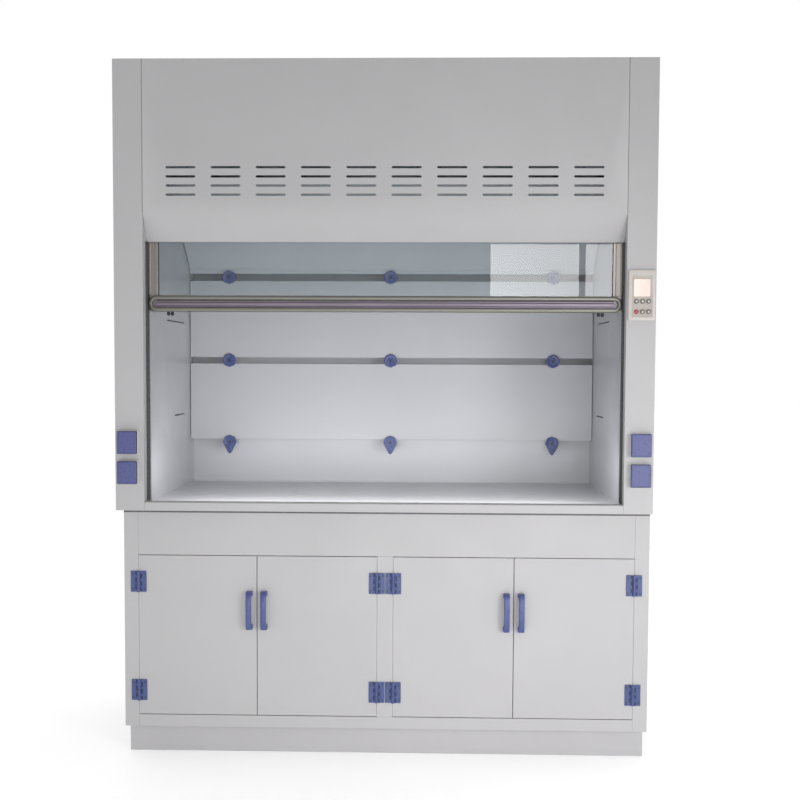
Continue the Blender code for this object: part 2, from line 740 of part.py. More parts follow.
def build_sash():
    origin = (0, SASH_Y, SASH_LOW)
    half_thick = SASH_THICK / 2
    slot = GLASS_THICK / 2 + GAP
    inner = SASH_HALF - STILE
    low = RAIL_TOP + GAP
    clamp_top = CLAMP_Z + CLAMP_HEIGHT
    outline = [
        (-SASH_HALF, low),
        (-SASH_HALF, SASH_HIGH),
        (SASH_HALF, SASH_HIGH),
        (SASH_HALF, low),
        (inner, low),
        (inner, SASH_HIGH - TOP_RAIL),
        (-inner, SASH_HIGH - TOP_RAIL),
        (-inner, low),
    ]
    frame = prism("Y", outline, SASH_Y - half_thick, SASH_Y + half_thick)
    tongues = []
    for side in (-1, 1):
        xs = sorted((side * (SASH_HALF - TONGUE_PLAY), side * (OPENING_HALF + TRACK_LIP - TONGUE_PLAY)))
        tongues.append(
            block(
                (xs[0], SASH_Y - TONGUE_HALF, low + TONGUE_PLAY),
                (xs[1], SASH_Y + TONGUE_HALF, SASH_HIGH - TONGUE_PLAY),
            )
        )
        xs = sorted((side * CLAMP_ROOT, side * (BELT_X + CLAMP_OVER)))
        tongues.append(
            block((xs[0], SASH_Y - CLAMP_HALF, CLAMP_Z), (xs[1], SASH_Y + CLAMP_HALF, clamp_top))
        )
    join(frame, tongues)
    cutters = [
        block(
            (-GLASS_HALF - GAP, SASH_Y - slot, 1.0),
            (GLASS_HALF + GAP, SASH_Y + slot, GLASS_TOP + GAP),
        )
    ]
    for side in (-1, 1):
        xs = sorted((side * (BELT_X - BELT_HALF - GAP), side * (BELT_X + CLAMP_OVER + OVERCUT)))
        grip = BELT_THICK / 2 + GAP
        cutters.append(
            block((xs[0], SASH_Y - grip, CLAMP_Z - OVERCUT), (xs[1], SASH_Y + grip, clamp_top + OVERCUT))
        )
    frame = finish(cut(frame, cutters), "sash_frame", "aluminium", origin)

    glass = block(
        (-GLASS_HALF, SASH_Y - GLASS_THICK / 2, RAIL_TOP - GLASS_SUNK),
        (GLASS_HALF, SASH_Y + GLASS_THICK / 2, GLASS_TOP),
    )
    finish(glass, "sash_glass", "glass", origin, frame)

    bar_half = SASH_HALF - TONGUE_PLAY
    rail = block(
        (-bar_half, SASH_Y - half_thick, SASH_LOW + RAIL_LIFT),
        (bar_half, SASH_Y + half_thick, RAIL_TOP),
    )
    bar_centre = (0, SASH_LOW + BAR_R)
    bar_front = SASH_Y - half_thick - BAR_PROUD
    bar_outline = stadium(bar_centre, bar_half, BAR_R, 12)
    bar = prism("Y", bar_outline, bar_front, SASH_Y - half_thick + OVERLAP)
    extras = [bar]
    for x in (-STOP_X, STOP_X):
        for step in (-STOP_STEP, STOP_STEP):
            centre = (x + step, SASH_Y)
            extras.append(rod("Z", centre, STOP_R, SASH_LOW - STOP_DROP, SASH_LOW + STOP_SINK, 12))
    join(rail, extras)
    groove_outline = stadium(bar_centre, bar_half - GROOVE_R, GROOVE_R, 10)
    groove = prism("Y", groove_outline, bar_front - OVERCUT, bar_front + GROOVE_DEPTH)
    seat = block(
        (-GLASS_HALF - GAP, SASH_Y - slot, RAIL_TOP - GLASS_SUNK - GAP),
        (GLASS_HALF + GAP, SASH_Y + slot, RAIL_TOP + OVERCUT),
    )
    hollows = []
    for left, right in (
        (-HOLLOW_END, -STOP_X - HOLLOW_STEP),
        (-STOP_X + HOLLOW_STEP, STOP_X - HOLLOW_STEP),
        (STOP_X + HOLLOW_STEP, HOLLOW_END),
    ):
        hollows.append(
            block(
                (left, SASH_Y - RAIL_HOLLOW, SASH_LOW - STOP_DROP - OVERCUT),
                (right, SASH_Y + RAIL_HOLLOW, RAIL_TOP - RAIL_ROOF),
            )
        )
    handle = cut(rail, [groove, seat, *hollows])
    finish(handle, "sash_handle", "aluminium", origin, frame)


def pulley(x, axle_z, steps=20):
    """Flanged pulley as three discs side by side."""
    groove = BELT_HALF + GAP
    centre = (AXLE_Y, axle_z)
    outer = groove + WHEEL_FLANGE
    hub_r = BELT_R - BELT_THICK / 2 - 2 * GAP
    hub = rod("X", centre, hub_r, x - outer + INSET, x + outer - INSET, steps)
    near = rod("X", centre, BELT_R + FLANGE_LIP, x - outer, x - groove, steps)
    far = rod("X", centre, BELT_R + FLANGE_LIP, x + groove, x + outer, steps)
    return join(hub, [near, far])


def belt_loop(offset):
    """Side view of the belt's outer or inner face, as (y, z) points."""
    middle = ((SHAFT_Z + IDLER_Z) / 2, AXLE_Y)
    half = (SHAFT_Z - IDLER_Z) / 2 + BELT_R
    return [(y, z) for z, y in stadium(middle, half + offset, BELT_R + offset, 12)]


def build_drive():
    shaft = rod("X", (AXLE_Y, SHAFT_Z), SHAFT_R, -SHAFT_END, SHAFT_END, 16)
    pulleys = [pulley(side * BELT_X, SHAFT_Z) for side in (-1, 1)]
    finish(join(shaft, pulleys), "drive_shaft", "steel", (0, AXLE_Y, SHAFT_Z))

    for name, side in (("left", -1), ("right", 1)):
        x = side * BELT_X
        idler = pulley(x, IDLER_Z)
        bore = rod("X", (AXLE_Y, IDLER_Z), IDLER_BORE, x - 2 * OVERCUT, x + 2 * OVERCUT, 16)
        finish(cut(idler, [bore]), f"idler_{name}", "steel", (x, AXLE_Y, IDLER_Z))

        belt = prism("X", belt_loop(BELT_THICK / 2), x - BELT_HALF, x + BELT_HALF)
        inside = prism("X", belt_loop(-BELT_THICK / 2), x - OVERCUT, x + OVERCUT)
        finish(cut(belt, [inside]), f"belt_{name}", "black", (x, AXLE_Y, (SHAFT_Z + IDLER_Z) / 2))

        xs = sorted((x - side * WEIGHT_NEAR, x + side * WEIGHT_FAR))
        weight = block(
            (xs[0], REAR_RUN_Y + WEIGHT_FRONT, WEIGHT_LOW),
            (xs[1], REAR_RUN_Y + WEIGHT_REAR, WEIGHT_HIGH),
            WEIGHT_EDGE,
        )
        clamp = block(
            (x - CLAMP_OVER, REAR_RUN_Y - GRIP_FRONT, WEIGHT_HIGH - GRIP_LOW),
            (x + CLAMP_OVER, REAR_RUN_Y + WEIGHT_FRONT + OVERLAP, WEIGHT_HIGH - GRIP_HIGH),
        )
        join(weight, [clamp])
        grip = BELT_THICK / 2 + GAP
        xs = sorted((x - side * (BELT_HALF + GAP), x + side * (CLAMP_OVER + OVERCUT)))
        slot = block((xs[0], REAR_RUN_Y - grip, WEIGHT_LOW), (xs[1], REAR_RUN_Y + grip, WEIGHT_HIGH))
        finish(
            cut(weight, [slot]),
            f"counterweight_{name}",
            "steel",
            (x, REAR_RUN_Y, WEIGHT_HIGH),
        )


def build_controller():
    face = FRONT - PANEL_PROUD
    back = FRONT - GAP
    housing = block(
        (PANEL_X - PANEL_HALF, face, PANEL_LOW),
        (PANEL_X + PANEL_HALF, back, PANEL_HIGH),
        PANEL_EDGE,
    )
    rear_box = block(
        (PANEL_X - REAR_BOX_HALF, back - OVERLAP, REAR_BOX_LOW),
        (PANEL_X + REAR_BOX_HALF, FRONT + REAR_BOX_DEPTH, REAR_BOX_HIGH),
    )
    join(housing, [rear_box])
    screen_well = block(
        (PANEL_X - SCREEN_HALF, face - OVERCUT, SCREEN_LOW),
        (PANEL_X + SCREEN_HALF, face + SCREEN_DEPTH, SCREEN_HIGH),
    )
    cutters = [screen_well]
    for x in BUTTON_XS:
        for z in BUTTON_ZS:
            cutters.append(rod("Y", (x, z), BUTTON_R + GAP, face - OVERCUT, face + BUTTON_WELL, 16))
    origin = (PANEL_X, FRONT, PANEL_MIDDLE)
    housing = finish(cut(housing, cutters), "controller_housing", "cream", origin)
    display = block(
        (PANEL_X - SCREEN_HALF + GAP, face + GAP, SCREEN_LOW + GAP),
        (PANEL_X + SCREEN_HALF - GAP, face + SCREEN_DEPTH - GAP, SCREEN_HIGH - GAP),
    )
    finish(display, "controller_display", "cream", (PANEL_X, face, SCREEN_LOW), housing)
    for row, z in enumerate(BUTTON_ZS):
        for column, x in enumerate(BUTTON_XS):
            front = face - BUTTON_PROUD
            button = rod("Y", (x, z), BUTTON_R, front, front + BUTTON_LENGTH, 16)
            look = "red" if (row, column) == (1, 0) else "grey"
            finish(button, f"button_{row + 1}_{column + 1}", look, (x, face, z), housing)


def build_sockets():
    face = FRONT - SOCKET_PROUD
    back = FRONT - GAP
    wall = FRONT + WALL + GAP
    rear = face - GAP
    for name, side in (("left", -1), ("right", 1)):
        x = side * SOCKET_X
        unit = block(
            (x - WIRING_HALF, wall, SOCKET_ZS[1] - WIRING_OVER),
            (x + WIRING_HALF, wall + WIRING_DEPTH, SOCKET_ZS[0] + WIRING_OVER),
        )
        extras = []
        cutters = []
        for z in SOCKET_ZS:
            extras.append(
                block(
                    (x - SOCKET_HALF, face, z - SOCKET_TALL),
                    (x + SOCKET_HALF, back, z + SOCKET_TALL),
                    SOCKET_EDGE,
                )
            )
            extras.append(
                block(
                    (x - NECK_HALF, back - OVERLAP, z - NECK_TALL),
                    (x + NECK_HALF, wall + OVERLAP, z + NECK_TALL),
                )
            )
            for offset, low, high in PIN_SLOTS:
                cutters.append(
                    block(
                        (x + offset - PIN_SLOT_HALF, face - OVERCUT, z + low),
                        (x + offset + PIN_SLOT_HALF, face + PIN_SLOT_DEPTH, z + high),
                    )
                )
        unit = cut(join(unit, extras), cutters)
        unit = finish(unit, f"socket_unit_{name}", "white", (x, FRONT, SOCKET_ZS[1]))
        for place, z in (("upper", SOCKET_ZS[0]), ("lower", SOCKET_ZS[1])):
            lid = block(
                (x - LID_HALF, rear - LID_THICK, z - LID_TALL),
                (x + LID_HALF, rear, z + LID_TALL),
                LID_EDGE,
            )
            hollow = block(
                (x - LID_HALF + LID_WALL, rear - LID_THICK + LID_WALL, z - LID_TALL + LID_WALL),
                (x + LID_HALF - LID_WALL, rear + OVERCUT, z + LID_TALL - LID_WALL),
            )
            relief = block(
                (x - LID_HALF - OVERCUT, rear - LID_RELIEF, z + LID_RELIEF_Z),
                (x + LID_HALF + OVERCUT, rear + OVERCUT, z + LID_TALL + OVERCUT),
            )
            origin = (x, LID_HINGE_Y, z + LID_HINGE_DROP)
            finish(cut(lid, [hollow, relief]), f"socket_lid_{name}_{place}", "blue", origin, unit)


def shift_base():
    """Moves the base cabinet and its doors sideways to where they stand under the upper body."""
    for obj in bpy.data.objects:
        if obj.name.startswith(("base_", "door_", "hinge_")) and not obj.parent:
            obj.location.x += BASE_SHIFT


clear_scene()
build_plinth()
build_carcass()
build_face_frame()
build_doors()
build_side_shells()
build_liners()
build_worktop()
build_walls()
build_duct()
build_fascia()
build_baffles()
build_hangers()
build_lamp()
build_sash()
build_drive()
build_controller()
build_sockets()
shift_base()
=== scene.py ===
"""Visual model of the walk-up fume hood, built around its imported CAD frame."""

import json
import math

import bmesh
import bpy
from mathutils import Matrix, Vector


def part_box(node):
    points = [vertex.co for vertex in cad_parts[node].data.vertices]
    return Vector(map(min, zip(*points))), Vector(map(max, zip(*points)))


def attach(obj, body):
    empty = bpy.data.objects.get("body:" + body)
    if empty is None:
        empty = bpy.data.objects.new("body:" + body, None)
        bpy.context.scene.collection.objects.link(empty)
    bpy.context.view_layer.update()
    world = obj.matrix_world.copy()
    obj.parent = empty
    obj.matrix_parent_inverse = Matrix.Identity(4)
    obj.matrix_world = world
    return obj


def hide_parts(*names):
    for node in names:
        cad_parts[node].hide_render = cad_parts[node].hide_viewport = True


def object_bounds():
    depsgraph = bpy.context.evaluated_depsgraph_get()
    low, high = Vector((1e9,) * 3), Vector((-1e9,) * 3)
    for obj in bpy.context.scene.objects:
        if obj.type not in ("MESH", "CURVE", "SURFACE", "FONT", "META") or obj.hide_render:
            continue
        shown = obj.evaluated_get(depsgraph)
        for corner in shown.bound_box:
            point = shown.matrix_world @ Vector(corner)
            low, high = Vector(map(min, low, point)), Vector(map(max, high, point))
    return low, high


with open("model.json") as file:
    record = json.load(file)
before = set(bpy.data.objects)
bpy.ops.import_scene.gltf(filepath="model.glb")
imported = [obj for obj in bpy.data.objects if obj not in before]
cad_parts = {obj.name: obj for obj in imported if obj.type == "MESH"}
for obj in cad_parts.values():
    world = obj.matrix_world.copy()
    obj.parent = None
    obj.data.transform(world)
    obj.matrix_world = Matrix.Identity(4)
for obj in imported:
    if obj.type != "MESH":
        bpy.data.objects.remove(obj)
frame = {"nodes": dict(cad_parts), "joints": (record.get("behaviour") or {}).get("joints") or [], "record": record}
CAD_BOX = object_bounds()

BODIES = frame["record"]["behaviour"]["bodies"]
BODY_OF = {node: body for body, members in BODIES.items() for node in members}
SLOT_OF = {part["node"]: part["material_slot"] for part in frame["record"]["subparts"]}
JOINTS = {joint["name"]: joint for joint in frame["joints"]}

# Sizes and counts that the frame's boxes don't give. Sizes are in metres.
GAP = 0.0003
SHEET_BEVEL = 0.0007
SOCKET_BACK = 0.0395

DOOR_GAP = 0.002
BOARD_GAP = 0.00012
HINGE_SIDE_CLOSE = 0.0016
HINGE_LEAF = 0.004
HINGE_REACH = 0.0265
HINGE_ROOT = 0.0112
LEAF_RIM = 0.0016
LEAF_STEP = 0.0008
LEAF_SCREW_X = 0.0205
KNUCKLES = 6
KNUCKLE_R = 0.0058
KNUCKLE_EASE = 0.0006
PIN_R = 0.0022
PULL_STRAP = 0.0100
PULL_FOOT = 0.0082

RIM_FOOT = 0.045
RIM_STEP = 0.0080
DECK_THICK = 0.0167
WELD_R = 0.0022
PLINTH_WELD_R = 0.0018
FASCIA_CREASE = 1.846
TRACK_FRONT = -0.3850
TRACK_BACK = -0.3490
TRACK_JOINT = 0.0040
# Height of the dark strip painted as the shadow under the worktop rim.
RIM_SHADOW_TALL = 0.0105
STRIP_HALF = 0.020
STRIP_THICK = 0.010
STRIP_BOTTOM = 1.000
STRIP_TOP = 1.730
SPACER_R = 0.022
STUD_R = 0.006

BACK_SCREW = 0.0009
SCREW_R = 0.0048
SCREW_EDGE = 0.022
FLANGE_WIDE = 0.028
FLANGE_THICK = 0.006
DUCT_WALL = 0.005

STILE_WIDE = 0.030
STILE_HALF = 0.012
RAIL_TALL = 0.022
PANE_SLOT = 0.0034
SEAL_SLOT = 0.0062
CLAMP_BOTTOM = 2.160
CLAMP_TALL = 0.040
GRIP_RADIUS = 0.027
GRIP_WALL = 0.0135
GROOVE_DEPTH = 0.0105
STOP_X = 0.730
STOP_SPREAD = 0.0066
STOP_R = 0.0062
STOP_NECK_R = 0.0050

PULLEY_R = 0.0280
PULLEY_TOOTH = 0.0014
PULLEY_TEETH = 22
FLANGE_R = 0.034
FLANGE_SIDE = 0.0022
SHAFT_R = 0.010
BELT_PITCH = 0.008
BELT_BACK_R = 0.031
BELT_LAND_R = 0.0296
BELT_TOOTH_R = 0.0284
WEIGHT_PLATES = 7

FIELD_DEPTH = 0.0030
FIELD_STEP = 0.0012
BUTTON_TRAVEL = 0.0014
BUTTON_RIM = 0.0032
# Width of the lid's border that is painted darker as shade.
LID_SHADE_BAND = 0.0019
# Size of the black inlays painted as the shade in the contact slots.
CONTACT_HALF = 0.0012
CONTACT_PROUD = 0.0002


# ---------------------------------------------------------------- mesh tools


def lay(axis, along, flat):
    """Point with one coordinate along the axis and two in the plane across it."""
    if axis == "X":
        return Vector((along, flat[0], flat[1]))
    if axis == "Y":
        return Vector((flat[0], along, flat[1]))
    return Vector((flat[0], flat[1], along))


def skin(bm, rings, closed=False):
    """Faces between rings of points that have the same count."""
    rows = [[bm.verts.new(point) for point in ring] for ring in rings]
    count = len(rows[0])
    pairs = list(zip(rows, rows[1:]))
    if closed:
        pairs.append((rows[-1], rows[0]))
    for first, second in pairs:
        for index in range(count):
            after = (index + 1) % count
            bm.faces.new((first[index], first[after], second[after], second[index]))
    if not closed:
        bm.faces.new(rows[0][::-1])
        bm.faces.new(rows[-1])


def middle_of(low, high):
    """Value half way between two."""
    return (low + high) / 2


def prism(bm, axis, outline, low, high):
    """Flat outline drawn out along an axis."""
    skin(bm, [[lay(axis, level, point) for point in outline] for level in (low, high)])


def box(bm, low, high):
    outline = [(low[0], low[1]), (high[0], low[1]), (high[0], high[1]), (low[0], high[1])]
    prism(bm, "Z", outline, low[2], high[2])


def soft_box(bm, low, high, radius, axis="Y", steps=4, edge=0.0):
    """Box whose corners are round across one axis, with its rims eased by edge."""
    index = "XYZ".index(axis)
    flat_low = [value for place, value in enumerate(low) if place != index]
    flat_high = [value for place, value in enumerate(high) if place != index]
    start, end = low[index], high[index]
    levels = [(start, 0.0), (end, 0.0)]
    if edge:
        levels = [(start, edge), (start + edge, 0.0), (end - edge, 0.0), (end, edge)]
    rings = []
    for level, inset in levels:
        outline = round_outline(flat_low, flat_high, radius, inset, steps)
        rings.append([lay(axis, level, point) for point in outline])
    skin(bm, rings)


def round_outline(low, high, radius, inset=0.0, steps=4):
    """Rectangle with round corners, pulled in by inset."""
    points = []
    for x, y, start in (
        (high[0], high[1], 0.0),
        (low[0], high[1], 0.5),
        (low[0], low[1], 1.0),
        (high[0], low[1], 1.5),
    ):
        centre_x = x + (radius if x == low[0] else -radius)
        centre_y = y + (radius if y == low[1] else -radius)
        reach = max(radius - inset, 1e-5)
        for step in range(steps + 1):
            angle = math.pi * (start + 0.5 * step / steps)
            points.append((centre_x + reach * math.cos(angle), centre_y + reach * math.sin(angle)))
    return points


def circle(centre, radius, steps):
    turns = [math.tau * step / steps for step in range(steps)]
    return [(centre[0] + radius * math.cos(turn), centre[1] + radius * math.sin(turn)) for turn in turns]


def stadium(centre, half_length, radius, steps):
    """Outline of a bar with round ends, long in its first coordinate."""
    points = []
    for side, start in ((1, -math.pi / 2), (-1, math.pi / 2)):
        for step in range(steps + 1):
            angle = start + math.pi * step / steps
            x = centre[0] + side * (half_length - radius) + radius * math.cos(angle)
            points.append((x, centre[1] + radius * math.sin(angle)))
    return points


def lathe(bm, axis, centre, profile, steps=32, closed=False):
    """Turned shape: the profile is a list of (place along the axis, radius)."""
    rings = [
        [lay(axis, along, point) for point in circle(centre, max(radius, 1e-5), steps)]
        for along, radius in profile
    ]
    skin(bm, rings, closed=closed)


def frame_of(normal):
    """Two directions across a normal."""
    normal = Vector(normal).normalized()
    helper = Vector((0, 0, 1)) if abs(normal.z) < 0.9 else Vector((0, 1, 0))
    across = helper.cross(normal).normalized()
    return across, normal.cross(across)


def screw(bm, centre, normal, radius, height=None, steps=16):
    """Domed screw head with a six-sided recess, standing on a surface at centre."""
    height = height or radius * 0.55
    across, up = frame_of(normal)
    normal = Vector(normal).normalized()
    centre = Vector(centre)

    def ring(level, reach, flats=False):
        points = []
        for step in range(steps):
            angle = math.tau * step / steps
            turn = (angle % (math.tau / 6)) - math.tau / 12
            size = reach * math.cos(math.tau / 12) / math.cos(turn) if flats else reach
            flat = across * (size * math.cos(angle)) + up * (size * math.sin(angle))
            points.append(centre + normal * level + flat)
        return points

    head = [(-0.0004, 0.9), (0.0, 1.0), (height * 0.55, 0.97), (height * 0.9, 0.75), (height, 0.5)]
    rings = [ring(level, radius * share) for level, share in head]
    recess = [ring(height, radius * 0.42, True), ring(height * 0.35, radius * 0.38, True)]
    skin(bm, rings + recess)


def bead(bm, start, end, radius, sides=8):
    """Weld bead: a thin rod laid in a corner, rippled along its length."""
    start = Vector(start)
    end = Vector(end)
    across, up = frame_of(end - start)
    count = max(2, int((end - start).length / 0.012))
    rings = []
    for index in range(count + 1):
        place = start.lerp(end, index / count)
        reach = radius * (1.0 + 0.10 * math.sin(index * 1.7))
        flats = circle((0, 0), reach, sides)
        rings.append([place + across * flat[0] + up * flat[1] for flat in flats])
    skin(bm, rings)


def tinted(bm, build, *args):
    """Runs a building step on the mesh and gives its faces the piece's second look."""
    before = len(bm.faces)
    build(bm, *args)
    bm.faces.ensure_lookup_table()
    for face in bm.faces[before:]:
        face.material_index = 1


def piece(name, bm, node, look, bevel=0.0, segments=2, sharp=35, replaces=()):
    """Turns a mesh into a piece on the node's body, with the given looks, and hides the nodes it replaces."""
    bmesh.ops.recalc_face_normals(bm, faces=bm.faces)
    mesh = bpy.data.meshes.new(name)
    bm.to_mesh(mesh)
    bm.free()
    obj = bpy.data.objects.new(name, mesh)
    bpy.context.scene.collection.objects.link(obj)
    for item in look if isinstance(look, list) else [look]:
        mesh.materials.append(item)
    mesh.shade_smooth()
    mesh.set_sharp_from_angle(angle=math.radians(sharp))
    if bevel:
        soften(obj, bevel, segments)
    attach(obj, BODY_OF[node])
    if replaces:
        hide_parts(*replaces)


def soften(obj, width, segments=2):
    rounding = obj.modifiers.new("rounding", "BEVEL")
    rounding.width = width
    rounding.segments = segments
    rounding.limit_method = "ANGLE"
    rounding.angle_limit = math.radians(32)
    rounding.harden_normals = True
    rounding.use_clamp_overlap = True


def keep(node, look):
    """Carries a CAD node over: its shape stays, its edges are eased and it gets a finished look."""
    obj = frame["nodes"][node]
    obj.data.materials.clear()
    obj.data.materials.append(look)
    if "custom_normal" in obj.data.attributes:
        obj.data.attributes.remove(obj.data.attributes["custom_normal"])
    weld = obj.modifiers.new("weld", "WELD")
    weld.merge_threshold = 0.00002
    flat = obj.modifiers.new("flat", "DECIMATE")
    flat.decimate_type = "DISSOLVE"
    flat.angle_limit = math.radians(0.8)
    obj.data.shade_smooth()
    soften(obj, SHEET_BEVEL, 2)


# ---------------------------------------------------------------- materials


NOISE_ROUGHNESS = 0.55
METAL_GRAIN = 0.08
METAL_ANISOTROPY = 0.4
GLASS_TINT = (0.800, 0.868, 0.880)
FILM_WARM = (0.80, 0.66, 0.58)
FLOOR_PALE = (0.95, 0.95, 0.95)
FLOOR_GLOW = 0.33


class Look:
    """Small builder for one node-based material."""

    def __init__(self, name, **values):
        self.made = bpy.data.materials.new(name)
        self.made.use_nodes = True
        self.tree = self.made.node_tree
        self.shader = self.tree.nodes["Principled BSDF"]
        for socket, value in values.items():
            self.shader.inputs[socket.replace("_", " ")].default_value = value

    def add(self, kind, **inputs):
        node = self.tree.nodes.new(kind)
        for socket, value in inputs.items():
            self.put(node.inputs[socket.replace("_", " ")], value)
        return node

    def put(self, socket, value):
        if isinstance(value, bpy.types.NodeSocket):
            self.tree.links.new(value, socket)
        else:
            socket.default_value = value

    def noise(self, scale, detail=3.0, stretch=(1, 1, 1), shift=(0, 0, 0)):
        where = self.add("ShaderNodeTexCoord").outputs["Object"]
        mapped = self.add("ShaderNodeMapping", Vector=where, Scale=stretch, Location=shift)
        values = {"Scale": scale, "Detail": detail, "Roughness": NOISE_ROUGHNESS}
        return self.add("ShaderNodeTexNoise", Vector=mapped.outputs["Vector"], **values).outputs["Fac"]

    def ramp(self, source, low, high, start=0.3, end=0.7):
        ends = {"From_Min": start, "From_Max": end, "To_Min": low, "To_Max": high}
        return self.add("ShaderNodeMapRange", Value=source, **ends).outputs["Result"]

    def mix(self, factor, first, second):
        node = self.tree.nodes.new("ShaderNodeMix")
        node.data_type = "RGBA"
        self.put(node.inputs["Factor"], factor)
        self.put(node.inputs[6], first)
        self.put(node.inputs[7], second)
        return node.outputs[2]

    def bump(self, height, strength, distance):
        node = self.add("ShaderNodeBump", Strength=strength, Distance=distance, Height=height)
        self.put(self.shader.inputs["Normal"], node.outputs["Normal"])

    def set(self, socket, value):
        self.put(self.shader.inputs[socket], value)


def shade(colour, factor):
    return (*[min(1.0, channel * factor) for channel in colour], 1.0)


def board_look(name, colour, roughness=0.42, spread=0.035, grain=0.05):
    """Plain polypropylene sheet: faint clouding, fine orange-peel grain and uneven gloss."""
    look = Look(name, IOR=1.49)
    cloud = look.ramp(look.noise(1.7, 4.0), 0.0, 1.0)
    base = look.mix(cloud, shade(colour, 1 - spread), shade(colour, 1 + spread))
    scuff = look.ramp(look.noise(26.0, 5.0, (1, 1, 0.25), (3, 1, 7)), 0.0, 0.10, 0.62, 0.80)
    look.set("Base Color", look.mix(scuff, base, shade(colour, 0.86)))
    uneven = look.noise(7.0, 4.0, (1, 1, 1), (5, 2, 1))
    look.set("Roughness", look.ramp(uneven, roughness - 0.06, roughness + 0.08))
    look.bump(look.noise(640.0, 2.0), grain, 0.0003)
    return look.made


def moulded_look(name, colour, roughness=0.36, spread=0.12, grain=0.12, scale=55.0):
    """Injection-moulded plastic: flow marks in the colour and a fine sparked texture."""
    look = Look(name, IOR=1.50)
    flow = look.ramp(look.noise(scale, 4.0, (1, 1, 0.6)), 0.0, 1.0)
    look.set("Base Color", look.mix(flow, shade(colour, 1 - spread), shade(colour, 1 + spread)))
    uneven = look.noise(scale * 2.2, 3.0, (1, 1, 1), (2, 9, 4))
    look.set("Roughness", look.ramp(uneven, roughness - 0.07, roughness + 0.10))
    look.bump(look.noise(1500.0, 2.0), grain, 0.0002)
    return look.made


def metal_look(name, colour, roughness, stretch, scale=90.0, spread=0.10):
    """Drawn or ground metal: streaks run along the direction with the small stretch value."""
    look = Look(name, Metallic=1.0, Anisotropic=METAL_ANISOTROPY)
    streak = look.noise(scale, 6.0, stretch)
    tone = look.ramp(streak, 0.0, 1.0, 0.25, 0.75)
    cloud = look.ramp(look.noise(9.0, 3.0, (1, 1, 1), (4, 4, 4)), 0.0, 0.5)
    streaked = look.mix(tone, shade(colour, 1 - spread), shade(colour, 1 + spread))
    look.set("Base Color", look.mix(cloud, streaked, shade(colour, 1 - spread)))
    look.set("Roughness", look.ramp(streak, roughness - 0.07, roughness + 0.10, 0.25, 0.75))
    look.bump(streak, METAL_GRAIN, 0.0002)
    return look.made


def rubber_look(name, colour):
    """Moulded rubber: matt, with a little dust in its grain."""
    look = Look(name, IOR=1.5)
    dust = look.ramp(look.noise(120.0, 5.0), 0.0, 1.0, 0.35, 0.75)
    look.set("Base Color", look.mix(dust, shade(colour, 0.8), shade(colour, 1.9)))
    look.set("Roughness", look.ramp(look.noise(300.0, 3.0), 0.62, 0.82))
    look.bump(look.noise(900.0, 3.0), 0.25, 0.0003)
    return look.made


def glass_look():
    """Toughened glass: a faint green tint, light film marks, and clear to shadow rays."""
    look = Look("toughened_glass", Roughness=0.0, IOR=1.47, Transmission_Weight=1.0)
    film = look.ramp(look.noise(3.0, 5.0, (1, 1, 0.4)), 0.0, 1.0, 0.35, 0.75)
    look.set("Base Color", look.mix(film, shade(GLASS_TINT, 1.0), shade(GLASS_TINT, 0.965)))
    look.set("Roughness", look.ramp(look.noise(5.0, 5.0, (1, 1, 1), (6, 1, 3)), 0.0, 0.02, 0.5, 0.9))
    clear = look.add("ShaderNodeBsdfTransparent", Color=shade(GLASS_TINT, 1.0))
    both = look.add("ShaderNodeMixShader")
    rays = look.add("ShaderNodeLightPath").outputs["Is Shadow Ray"]
    output = look.tree.nodes["Material Output"]
    look.tree.links.new(rays, both.inputs[0])
    look.tree.links.new(look.shader.outputs[0], both.inputs[1])
    look.tree.links.new(clear.outputs[0], both.inputs[2])
    look.tree.links.new(both.outputs[0], output.inputs["Surface"])
    return look.made


def screen_look():
    """Display window: warm clear film over an even panel, slightly cloudy."""
    look = Look("display_film", IOR=1.5, Coat_Weight=0.6, Coat_Roughness=0.08)
    cloud = look.ramp(look.noise(30.0, 3.0), 0.0, 1.0)
    look.set("Base Color", look.mix(cloud, shade(FILM_WARM, 0.96), shade(FILM_WARM, 1.04)))
    look.set("Roughness", look.ramp(look.noise(90.0, 3.0), 0.18, 0.30))
    return look.made


def floor_look():
    """Pale studio floor that glows a little, so that it stays white."""
    look = Look("studio_floor")
    cloud = look.ramp(look.noise(0.8, 3.0), 0.0, 1.0)
    look.set("Base Color", look.mix(cloud, shade(FLOOR_PALE, 0.985), shade(FLOOR_PALE, 1.0)))
    look.set("Roughness", look.ramp(look.noise(3.0, 3.0), 0.6, 0.75))
    look.set("Emission Color", (1.0, 1.0, 1.0, 1.0))
    look.set("Emission Strength", FLOOR_GLOW)
    return look.made


